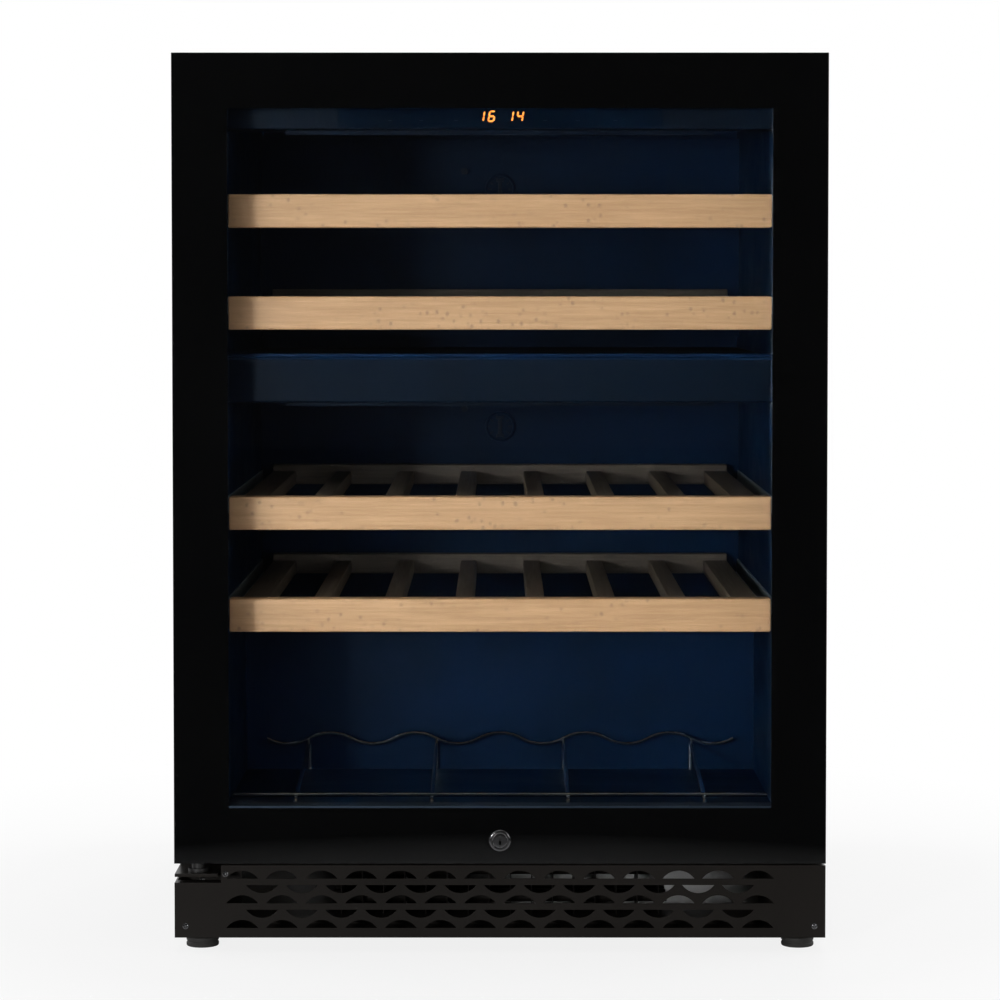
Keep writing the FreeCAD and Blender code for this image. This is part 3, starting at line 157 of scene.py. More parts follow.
class Graph:
    """A node tree with short ways to add nodes and join their sockets."""

    def __init__(self, tree: bpy.types.NodeTree) -> None:
        """Keeps the tree that the nodes go into."""
        self.tree = tree

    def add(self, kind: str, inputs: Optional[dict] = None, **settings) -> bpy.types.Node:
        """Adds a node.

        Args:
            kind: the node's type name, without its ShaderNode prefix.
            inputs: a value or a socket for each input, by name or number.
            settings: the node's own properties.

        Returns:
            The new node.
        """
        node = self.tree.nodes.new("ShaderNode" + kind)
        for key, value in settings.items():
            setattr(node, key, value)
        for key, value in (inputs or {}).items():
            self.feed(node.inputs[key], value)
        return node

    def feed(self, socket: bpy.types.NodeSocket, value: Socket) -> None:
        """Joins the socket to another one, or sets its plain value."""
        if isinstance(value, bpy.types.NodeSocket):
            self.tree.links.new(value, socket)
        elif isinstance(value, tuple) and len(value) == 3 and socket.type == "RGBA":
            socket.default_value = (*value, 1.0)
        else:
            socket.default_value = value

    def sum(self, kind: str, first: Socket, second: Socket) -> bpy.types.NodeSocket:
        """Returns the result of a two-value Math node of this operation."""
        return self.add("Math", {0: first, 1: second}, operation=kind).outputs[0]

    def spread(self, mask: Socket, low: float, high: float, start: float = 0.0, end: float = 1.0) -> bpy.types.NodeSocket:
        """Returns the mask stretched from start..end to low..high."""
        node = self.add("MapRange", {"Value": mask, "From Min": start, "From Max": end, "To Min": low, "To Max": high})
        return node.outputs[0]

    def blend(self, mask: Socket, first: Socket, second: Socket) -> bpy.types.NodeSocket:
        """Returns the mix of two colours by the mask."""
        node = self.add("MixRGB", {"Fac": mask, "Color1": first, "Color2": second})
        return node.outputs[0]

    def place(self, scale: Sequence[float], turn: Sequence[float] = (0, 0, 0)) -> bpy.types.NodeSocket:
        """Returns the object's own coordinates, scaled and turned."""
        own = self.add("TexCoord").outputs["Object"]
        return self.add("Mapping", {"Vector": own, "Scale": scale, "Rotation": turn}).outputs[0]

    def noise(self, vector: Socket, scale: float, detail: float = 3.0, rough: float = 0.55) -> bpy.types.NodeSocket:
        """Returns the value of a noise texture."""
        node = self.add("TexNoise", {"Vector": vector, "Scale": scale, "Detail": detail, "Roughness": rough})
        return node.outputs[0]


def new_group(name: str, inputs: dict[str, tuple[str, object]], outputs: dict[str, str]) -> tuple:
    """Makes an empty shader node group.

    Args:
        name: the group's name.
        inputs: each input's socket type and default value.
        outputs: each output's socket type.

    Returns:
        The group's tree, its graph, its input node and its output node.
    """
    tree = bpy.data.node_groups.new(name, "ShaderNodeTree")
    for label, (kind, default) in inputs.items():
        socket = tree.interface.new_socket(label, in_out="INPUT", socket_type="NodeSocket" + kind)
        if default is not None:
            socket.default_value = default
    for label, kind in outputs.items():
        tree.interface.new_socket(label, in_out="OUTPUT", socket_type="NodeSocket" + kind)
    graph = Graph(tree)
    return tree, graph, tree.nodes.new("NodeGroupInput"), tree.nodes.new("NodeGroupOutput")


def moulded_grain() -> bpy.types.NodeTree:
    """Returns the group for fine raised grain, as in powder coat, moulded plastic and rubber."""
    tree, graph, given, out = new_group(
        "moulded_grain", {"Grain": ("Float", 900.0)}, {"Height": "Float", "Mask": "Float"})
    own = graph.add("TexCoord").outputs["Object"]
    fine = graph.add("TexNoise", {"Vector": own, "Scale": given.outputs["Grain"], "Detail": 4.0, "Roughness": 0.6})
    wide = graph.noise(own, 7.0, 4.0)
    graph.feed(out.inputs["Height"], fine.outputs[0])
    graph.feed(out.inputs["Mask"], graph.spread(wide, 0.0, 1.0, 0.3, 0.7))
    return tree


def handled_sheen() -> bpy.types.NodeTree:
    """Returns the group for the uneven sheen of wiped and handled surfaces, with soft streaks."""
    tree, graph, given, out = new_group(
        "handled_sheen", {"Size": ("Float", 6.0)}, {"Mask": "Float", "Dust": "Float"})
    own = graph.add("TexCoord").outputs["Object"]
    streaks = graph.add("TexNoise", {"Vector": graph.place((0.4, 1.0, 1.6)), "Scale": given.outputs["Size"],
                                     "Detail": 5.0, "Roughness": 0.62, "Distortion": 0.4})
    upward = graph.add("SeparateXYZ", {0: graph.add("NewGeometry").outputs["Normal"]}).outputs[2]
    specks = graph.noise(own, 240.0, 2.0)
    settled = graph.sum("MULTIPLY", graph.spread(upward, 0.0, 1.0, 0.6, 1.0), graph.spread(specks, 0.0, 1.0, 0.5, 0.75))
    graph.feed(out.inputs["Mask"], graph.spread(streaks.outputs[0], 0.0, 1.0, 0.32, 0.68))
    graph.feed(out.inputs["Dust"], settled)
    return tree


def beech_figure() -> bpy.types.NodeTree:
    """Returns the group for beech: fine straight grain along X, wide growth bands and short dark ray flecks."""
    tree, graph, given, out = new_group(
        "beech_figure",
        {"Vector": ("Vector", None), "Pale": ("Color", (0.6, 0.4, 0.25, 1)), "Warm": ("Color", (0.5, 0.3, 0.18, 1)),
         "Fleck": ("Color", (0.3, 0.16, 0.09, 1)), "Flecks": ("Float", 0.5)},
        {"Color": "Color", "Height": "Float", "Mask": "Float"})
    along = given.outputs["Vector"]

    def stretched(scale: Sequence[float]) -> bpy.types.NodeSocket:
        """Returns the given vector scaled."""
        return graph.add("Mapping", {"Vector": along, "Scale": scale}).outputs[0]

    bands = graph.noise(stretched((1.2, 30.0, 30.0)), 1.6, 4.0, 0.6)
    fibres = graph.noise(stretched((14.0, 380.0, 380.0)), 1.0, 5.0, 0.75)
    waves = graph.noise(stretched((9.0, 120.0, 120.0)), 1.0, 3.0, 0.6)
    rays = graph.add("TexVoronoi", {"Vector": stretched((140.0, 300.0, 110.0)), "Scale": 1.0, "Randomness": 1.0})
    sown = graph.noise(stretched((14.0, 60.0, 60.0)), 1.0, 2.0)
    dashes = graph.spread(rays.outputs["Distance"], 1.0, 0.0, 0.12, 0.32)
    fleck_mask = graph.sum("MULTIPLY", dashes, graph.spread(sown, 0.0, 1.0, 0.42, 0.6))
    fleck_mask = graph.sum("MULTIPLY", fleck_mask, given.outputs["Flecks"])
    tone = graph.sum("ADD", graph.spread(bands, 0.0, 0.55, 0.3, 0.7), graph.spread(waves, 0.0, 0.35, 0.3, 0.7))
    tone = graph.sum("ADD", tone, graph.spread(fibres, -0.55, 0.75, 0.3, 0.7))
    body = graph.blend(graph.add("Clamp", {0: tone}).outputs[0], given.outputs["Pale"], given.outputs["Warm"])
    graph.feed(out.inputs["Color"], graph.blend(fleck_mask, body, given.outputs["Fleck"]))
    graph.feed(out.inputs["Height"], graph.sum("SUBTRACT", fibres, graph.sum("MULTIPLY", fleck_mask, 0.6)))
    graph.feed(out.inputs["Mask"], fibres)
    return tree


def zinc_spangle() -> bpy.types.NodeTree:
    """Returns the group for the crystal flakes of galvanised sheet and the rolling lines under them."""
    tree, graph, given, out = new_group(
        "zinc_spangle", {"Flakes": ("Float", 90.0)}, {"Flake": "Float", "Height": "Float", "Mask": "Float"})
    own = graph.add("TexCoord").outputs["Object"]
    bent = graph.add("TexNoise", {"Vector": own, "Scale": 40.0, "Detail": 3.0})
    moved = graph.add("VectorMath", {0: own, 1: graph.add("VectorMath", {0: bent.outputs[1], "Scale": 0.012},
                                                          operation="SCALE").outputs[0]}, operation="ADD")
    flakes = graph.add("TexVoronoi", {"Vector": moved.outputs[0], "Scale": given.outputs["Flakes"]})
    shade = graph.add("SeparateColor", {0: flakes.outputs["Color"]}).outputs[0]
    lines = graph.noise(graph.place((1.0, 1.0, 60.0)), 24.0, 3.0)
    graph.feed(out.inputs["Flake"], shade)
    graph.feed(out.inputs["Height"], graph.sum("ADD", graph.sum("MULTIPLY", lines, 0.6), shade))
    graph.feed(out.inputs["Mask"], graph.noise(own, 5.0, 4.0))
    return tree


class Effect(Enum):
    """The shared surface effects, each a shader node group that is built once."""

    GRAIN = "moulded_grain"
    SHEEN = "handled_sheen"
    BEECH = "beech_figure"
    SPANGLE = "zinc_spangle"

    def group(self) -> bpy.types.NodeTree:
        """Returns the effect's node group, and builds it the first time."""
        built = bpy.data.node_groups.get(self.value)
        return built if built else globals()[self.value]()

    def add_to(self, graph: Graph, inputs: dict) -> bpy.types.Node:
        """Adds the effect's group node to a graph and returns it."""
        node = graph.add("Group", node_tree=self.group())
        for key, value in inputs.items():
            graph.feed(node.inputs[key], value)
        return node


# ---------------------------------------------------------------- finishes

@dataclass(frozen=True)
class Finish:
    """A solid finish: a colour with a second tone in wide patches, uneven gloss and fine grain."""

    name: str
    base: Colour
    tone: Colour
    roughness: float
    roughness_spread: float = 0.06
    metallic: float = 0.0
    grain: float = 900.0
    grain_depth: float = 0.05
    dust: float = 0.0
    coat: float = 0.0
    specular: float = 0.5

    def start(self) -> tuple[bpy.types.Material, Graph, bpy.types.Node]:
        """Returns an empty material with its graph and its Principled shader, joined to the output."""
        material = bpy.data.materials.new(self.name)
        material.use_nodes = True
        graph = Graph(material.node_tree)
        graph.tree.nodes.clear()
        shader = graph.add("BsdfPrincipled", {
            "Base Color": self.base, "Roughness": self.roughness, "Metallic": self.metallic,
            "Coat Weight": self.coat, "Coat Roughness": 0.08, "Specular IOR Level": self.specular})
        graph.add("OutputMaterial", {"Surface": shader.outputs[0]})
        return material, graph, shader

    def roughen(self, graph: Graph, shader: bpy.types.Node, height: Socket, depth: float) -> None:
        """Joins a bump of this depth in millimetres to the shader's normal."""
        bump = graph.add("Bump", {"Height": height, "Strength": 1.0, "Distance": depth * MM})
        graph.feed(shader.inputs["Normal"], bump.outputs[0])

    def build(self) -> bpy.types.Material:
        """Returns the finish as a new material."""
        material, graph, shader = self.start()
        grain = Effect.GRAIN.add_to(graph, {"Grain": self.grain})
        sheen = Effect.SHEEN.add_to(graph, {"Size": 6.0})
        colour = graph.blend(grain.outputs["Mask"], self.base, self.tone)
        if self.dust:
            dust = graph.sum("MULTIPLY", sheen.outputs["Dust"], self.dust)
            colour = graph.blend(dust, colour, (0.35, 0.34, 0.32))
        graph.feed(shader.inputs["Base Color"], colour)
        low = self.roughness - self.roughness_spread
        high = self.roughness + self.roughness_spread
        graph.feed(shader.inputs["Roughness"], graph.spread(sheen.outputs["Mask"], low, high))
        self.roughen(graph, shader, grain.outputs["Height"], self.grain_depth)
        return material


@dataclass(frozen=True)
class SheetZinc(Finish):
    """Galvanised sheet with crystal flakes."""

    flakes: float = 90.0

    def build(self) -> bpy.types.Material:
        """Returns the finish as a new material."""
        material, graph, shader = self.start()
        flake = Effect.SPANGLE.add_to(graph, {"Flakes": self.flakes})
        sheen = Effect.SHEEN.add_to(graph, {"Size": 4.0})
        shade = graph.blend(flake.outputs["Flake"], self.base, self.tone)
        shade = graph.blend(graph.sum("MULTIPLY", flake.outputs["Mask"], 0.35), shade, (0.42, 0.42, 0.41))
        graph.feed(shader.inputs["Base Color"], shade)
        gloss = graph.sum("ADD", graph.spread(flake.outputs["Flake"], 0.0, 0.14), graph.spread(
            sheen.outputs["Mask"], self.roughness - self.roughness_spread, self.roughness + self.roughness_spread))
        graph.feed(shader.inputs["Roughness"], gloss)
        self.roughen(graph, shader, flake.outputs["Height"], self.grain_depth)
        return material


class Run(Enum):
    """The way that a board's grain runs, as the turn that brings it to the figure's X."""

    ACROSS = (0.0, 0.0, 0.0)
    DEEP = (0.0, 0.0, math.pi / 2)


@dataclass(frozen=True)
class Beech(Finish):
    """Sanded beech with its grain along one way."""

    run: Run = Run.ACROSS
    flecks: float = 0.6
    fleck: Colour = (0.33, 0.17, 0.10)

    def build(self) -> bpy.types.Material:
        """Returns the finish as a new material."""
        material, graph, shader = self.start()
        own = graph.add("TexCoord").outputs["Object"]
        turned = graph.add("Mapping", {"Vector": own, "Rotation": self.run.value}).outputs[0]
        wood = Effect.BEECH.add_to(graph, {"Vector": turned, "Pale": self.base, "Warm": self.tone,
                                           "Fleck": self.fleck, "Flecks": self.flecks})
        graph.feed(shader.inputs["Base Color"], wood.outputs["Color"])
        low = self.roughness - self.roughness_spread
        high = self.roughness + self.roughness_spread
        graph.feed(shader.inputs["Roughness"], graph.spread(wood.outputs["Mask"], low, high))
        self.roughen(graph, shader, wood.outputs["Height"], self.grain_depth)
        return material


@dataclass(frozen=True)
class Glass(Finish):
    """Clear or tinted glass that lets the lamps through."""

    index: float = 1.5

    def build(self) -> bpy.types.Material:
        """Returns the finish as a new material."""
        material, graph, shader = self.start()
        shader.inputs["Transmission Weight"].default_value = 1.0
        shader.inputs["IOR"].default_value = self.index
        sheen = Effect.SHEEN.add_to(graph, {"Size": 5.0})
        graph.feed(shader.inputs["Base Color"], graph.blend(sheen.outputs["Mask"], self.base, self.tone))
        passing = graph.add("BsdfTransparent", {"Color": self.base})
        shadow = graph.add("LightPath").outputs["Is Shadow Ray"]
        both = graph.add("MixShader", {0: shadow, 1: shader.outputs[0], 2: passing.outputs[0]})
        graph.feed(graph.tree.nodes["Material Output"].inputs["Surface"], both.outputs[0])
        return material


@dataclass(frozen=True)
class Glow(Finish):
    """A lit segment of the display, paler at its heart."""

    heart: Colour = (1.0, 0.42, 0.06)
    power: float = 1.0

    def build(self) -> bpy.types.Material:
        """Returns the finish as a new material."""
        material, graph, shader = self.start()
        patch = graph.noise(graph.add("TexCoord").outputs["Object"], 900.0, 1.0)
        graph.feed(shader.inputs["Emission Color"], graph.blend(graph.spread(patch, 0.0, 1.0, 0.3, 0.7),
                                                                self.base, self.heart))
        shader.inputs["Emission Strength"].default_value = self.power
        return material


FINISHES = {
    "black_steel": Finish("powder_coat", (0.0095, 0.0080, 0.0068), (0.013, 0.011, 0.0095), 0.36, grain=1500.0,
                          grain_depth=0.05, dust=0.03, specular=0.14),
    "zinc_steel": SheetZinc("galvanised_sheet", (0.46, 0.47, 0.48), (0.56, 0.57, 0.58), 0.36, metallic=0.85,
                            grain_depth=0.012, flakes=210.0),
    "foam": Finish("rigid_foam", (0.72, 0.62, 0.36), (0.60, 0.48, 0.25), 0.85, grain=420.0, grain_depth=0.35),
    "liner": Finish("cabinet_liner", (0.0011, 0.0120, 0.040), (0.0012, 0.0080, 0.023), 0.42, 0.08, grain=700.0,
                    grain_depth=0.03, specular=0.05),
    "cap_grip": Finish("cap_grip", (0.0085, 0.0125, 0.024), (0.007, 0.011, 0.021), 0.45, 0.06, grain=900.0,
                       grain_depth=0.03, specular=0.1),
    "trim": Finish("trim_strip", (0.0012, 0.0055, 0.0135), (0.0009, 0.0042, 0.0105), 0.40, 0.08, grain=700.0,
                   grain_depth=0.03, specular=0.05),
    "black_plastic": Finish("moulded_black", (0.012, 0.012, 0.012), (0.018, 0.0175, 0.017), 0.42, grain=1400.0,
                            grain_depth=0.05, dust=0.04),
    "gloss_black": Finish("display_gloss", (0.0007, 0.0045, 0.012), (0.0009, 0.0055, 0.0145), 0.14, 0.03, grain=300.0,
                          grain_depth=0.004, specular=0.15),
    "door_glass": Glass("tinted_door_glass", (0.90, 0.93, 0.95), (0.88, 0.92, 0.95), 0.0),
    "inner_glass": Glass("inner_pane_glass", (0.95, 0.965, 0.96), (0.94, 0.96, 0.955), 0.0),
    "gasket": Finish("gasket_vinyl", (0.014, 0.014, 0.015), (0.020, 0.020, 0.020), 0.55, grain=600.0,
                     grain_depth=0.06, dust=0.08),
    "beech": Beech("beech_front", (0.74, 0.405, 0.205), (0.59, 0.305, 0.145), 0.52, 0.08, grain_depth=0.05,
                   specular=0.35),
    # The slat and rear-bar beech below are copies of the front's beech darkened as painted shade for their place deep
    # in the cavity, the rear bar darker still.
    "beech_deep": Beech("slat_wood_painted_shade", (0.20, 0.135, 0.09), (0.14, 0.092, 0.06), 0.6, 0.08, grain_depth=0.06,
                        run=Run.DEEP, flecks=0.4, fleck=(0.09, 0.05, 0.03), specular=0.3),
    "beech_bar": Beech("beech_rear_bar", (0.13, 0.09, 0.065), (0.09, 0.062, 0.045), 0.6, 0.08, grain_depth=0.06,
                       flecks=0.4, fleck=(0.06, 0.035, 0.02), specular=0.3),
    "chrome": Finish("bright_chrome", (0.78, 0.79, 0.80), (0.70, 0.71, 0.73), 0.10, 0.04, metallic=1.0,
                     grain=500.0, grain_depth=0.004),
    "rubber": Finish("soft_rubber", (0.022, 0.021, 0.020), (0.032, 0.030, 0.028), 0.75, grain=500.0,
                     grain_depth=0.12, dust=0.2),
    "aluminium": Finish("rolled_aluminium", (0.06, 0.08, 0.105), (0.045, 0.06, 0.085), 0.45, 0.08, metallic=1.0,
                        grain=260.0, grain_depth=0.02),
    "copper": Finish("copper_tube", (0.76, 0.36, 0.22), (0.52, 0.24, 0.14), 0.34, 0.10, metallic=1.0, grain=200.0,
                     grain_depth=0.02),
    "board": Finish("circuit_board", (0.01, 0.10, 0.04), (0.006, 0.07, 0.03), 0.40, 0.08, grain=300.0,
                    grain_depth=0.06),
    "light": Finish("smoked_cover", (0.0015, 0.006, 0.016), (0.0012, 0.005, 0.013), 0.45, 0.05, grain=500.0,
                    grain_depth=0.02, specular=0.06),
    "print": Finish("black_enamel", (0.0028, 0.0028, 0.0029), (0.0034, 0.0034, 0.0034), 0.6, 0.05, grain=900.0,
                    grain_depth=0.01, specular=0.0),
    "icon": Finish("printed_symbol", (0.016, 0.024, 0.036), (0.012, 0.020, 0.032), 0.5, 0.05, grain=900.0,
                   grain_depth=0.01),
    "glow": Glow("display_glow", (1.0, 0.16, 0.012), (1.0, 0.2, 0.02), 0.4, power=1.9),
    "dark_chrome": Finish("black_chrome", (0.20, 0.20, 0.205), (0.15, 0.15, 0.155), 0.16, 0.05, metallic=1.0,
                          grain=500.0, grain_depth=0.006),
}


@dataclass
class Paints:
    """Gives each finish's material, built once."""

    built: dict[str, bpy.types.Material] = field(default_factory=dict)

    def get(self, name: str) -> bpy.types.Material:
        """Returns the material of a finish."""
        if name not in self.built:
            self.built[name] = FINISHES[name].build()
        return self.built[name]

    def dress(self, thing: bpy.types.Object, name: str) -> None:
        """Puts the finish on every material slot of an object."""
        if not thing.material_slots:
            thing.data.materials.append(self.get(name))
        for slot in thing.material_slots:
            slot.material = self.get(name)


PAINTS = Paints()


# ---------------------------------------------------------------- modelling helpers

def smooth_by_angle(mesh: bmesh.types.BMesh, angle: float = SHARP_ANGLE) -> None:
    """Shades the faces smooth and marks the edges that turn more than the angle as sharp."""
    for face in mesh.faces:
        face.smooth = True
    for edge in mesh.edges:
        edge.smooth = len(edge.link_faces) == 2 and edge.calc_face_angle(0.0) < angle


def finished(name: str, mesh: bmesh.types.BMesh, body: str, slot: str, finish: str,
             weighted: bool = True) -> bpy.types.Object:
    """Turns a bmesh into a piece of the cooler.

    Args:
        name: the piece's name.
        mesh: its shape in metres, which is freed.
        body: the body that it moves with.
        slot: the record's material slot.
        finish: the finish that it is given.
        weighted: whether its flat faces keep flat shading beside rounded edges.

    Returns:
        The new object.
    """
    smooth_by_angle(mesh)
    data = bpy.data.meshes.new(name)
    mesh.to_mesh(data)
    mesh.free()
    piece = bpy.data.objects.new(name, data)
    bpy.context.scene.collection.objects.link(piece)
    if weighted:
        weight = piece.modifiers.new("weighted", "WEIGHTED_NORMAL")
        weight.keep_sharp = True
    PAINTS.dress(piece, finish)
    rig.ride(piece, body)
    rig.slot(piece, slot)
    log.info("%s rides on %s, finish %s, %d faces", name, body, finish, len(data.polygons))
    return piece


def add_block(mesh: bmesh.types.BMesh, low: Vector, high: Vector, edge: float = 0.0, segments: int = 2) -> list:
    """Adds a box with rounded edges to a bmesh.

    Args:
        mesh: the bmesh to add to.
        low: lowest corner in metres.
        high: highest corner in metres.
        edge: radius of the rounded edges in metres.
        segments: steps in each rounded edge.

    Returns:
        The box's vertices.
    """
    size = high - low
    centre = (low + high) / 2
    matrix = Matrix.Translation(centre) @ Matrix.Diagonal((size.x, size.y, size.z, 1))
    verts = bmesh.ops.create_cube(mesh, size=1.0, matrix=matrix)["verts"]
    if edge > 0:
        edges = list({e for v in verts for e in v.link_edges})
        made = bmesh.ops.bevel(mesh, geom=edges, offset=edge, affect="EDGES", segments=segments, profile=0.5,
                               material=-1)
        verts = list({v for v in made["verts"]} | {v for v in verts if v.is_valid})
    return verts


def turned(mesh: bmesh.types.BMesh, profile: Iterable[tuple[float, float]], centre: Vector, axis: Vector,
           steps: int = 48) -> list:
    """Spins an outline into a closed turned shape.

    Args:
        mesh: the bmesh to add to.
        profile: radius and distance along the axis of each point, in metres, from one end to the other.
        centre: the point on the axis that the distances start from.
        axis: the axis, either along Y or along Z.
        steps: how many steps make the full turn.

    Returns:
        The new vertices.
    """
    side = Vector((1, 0, 0))
    before = set(mesh.verts)
    points = list(profile)
    chain = [mesh.verts.new(centre + side * radius + axis * along) for radius, along in points]
    edges = [mesh.edges.new(pair) for pair in zip(chain, chain[1:])]
    if points[0] != points[-1] and points[0][0] > 0 and points[-1][0] > 0:
        edges.append(mesh.edges.new((chain[-1], chain[0])))
    bmesh.ops.spin(mesh, geom=chain + edges, cent=centre, axis=axis, angle=FULL_TURN, steps=steps, use_merge=True)
    made = [v for v in mesh.verts if v not in before]
    bmesh.ops.remove_doubles(mesh, verts=made, dist=1e-6)
    made = [v for v in mesh.verts if v not in before]
    faces = list({f for v in made for f in v.link_faces})
    bmesh.ops.recalc_face_normals(mesh, faces=faces)
    return made


def rounded(profile: Sequence[tuple[float, float, float]], steps: int = 4) -> list[tuple[float, float]]:
    """Rounds the corners of an outline.

    Args:
        profile: radius, distance along the axis and corner radius of each point.
        steps: how many steps make each corner.

    Returns:
        The radius and distance of each point of the rounded outline.
    """
    points: list[tuple[float, float]] = []
    for index, (radius, along, bend) in enumerate(profile):
        here = Vector((radius, along))
        if bend <= 0 or index in (0, len(profile) - 1):
            points.append((radius, along))
            continue
        before = (Vector(profile[index - 1][:2]) - here).normalized()
        after = (Vector(profile[index + 1][:2]) - here).normalized()
        for step in range(steps + 1):
            share = step / steps
            first = here + before * bend * (1 - share)
            second = here + after * bend * share
            points.append(tuple(first.lerp(second, share)))
    return points


def softened(node: str, name: str, body: str, slot: str, finish: str, edge: float,
             segments: int = 2) -> bpy.types.Object:
    """Copies a plain node with its sharp edges rounded, and stands the copy in for it.

    Args:
        node: the node to copy.
        name: the new piece's name.
        body: the body that it moves with.
        slot: the record's material slot.
        finish: the finish that it is given.
        edge: radius of the rounded edges in millimetres.
        segments: steps in each rounded edge.

    Returns:
        The new object.
    """
    mesh = bmesh.new()
    mesh.from_mesh(frame["nodes"][node].data)
    bmesh.ops.remove_doubles(mesh, verts=mesh.verts, dist=2e-6)
    bmesh.ops.dissolve_limit(mesh, angle_limit=math.radians(0.4), verts=mesh.verts, edges=mesh.edges,
                             use_dissolve_boundaries=False, delimit={"NORMAL"})
    sharp = [e for e in mesh.edges if len(e.link_faces) == 2 and e.calc_face_angle(0.0) > SHARP_ANGLE]
    bmesh.ops.bevel(mesh, geom=sharp, offset=edge * MM, affect="EDGES", segments=segments, profile=0.5,
                    material=-1, clamp_overlap=True)
    bmesh.ops.triangulate(mesh, faces=[f for f in mesh.faces if len(f.verts) > 4])
    piece = finished(name, mesh, body, slot, finish)
    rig.replaces(piece, node)
    return piece


def cut_away(mesh: bmesh.types.BMesh, cutter: bmesh.types.BMesh) -> bmesh.types.BMesh:
    """Cuts one closed shape out of another.

    Args:
        mesh: the shape that is cut, which is freed.
        cutter: the shape that is taken away, which is freed.

    Returns:
        What is left.
    """
    things = []
    for shape in (mesh, cutter):
        data = bpy.data.meshes.new("cutting")
        shape.to_mesh(data)
        shape.free()
        thing = bpy.data.objects.new("cutting", data)
        bpy.context.scene.collection.objects.link(thing)
        things.append(thing)
    cut = things[0].modifiers.new("cut", "BOOLEAN")
    cut.operation = "DIFFERENCE"
    cut.solver = "EXACT"
    cut.object = things[1]
    left = bmesh.new()
    left.from_object(things[0], bpy.context.evaluated_depsgraph_get())
    for thing in things:
        bpy.data.meshes.remove(thing.data)
    return left


def corners(node: str) -> tuple[Vector, Vector]:
    """Returns a node's lowest and highest corner."""
    low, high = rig.box(node)
    return Vector(low), Vector(high)


# ---------------------------------------------------------------- door

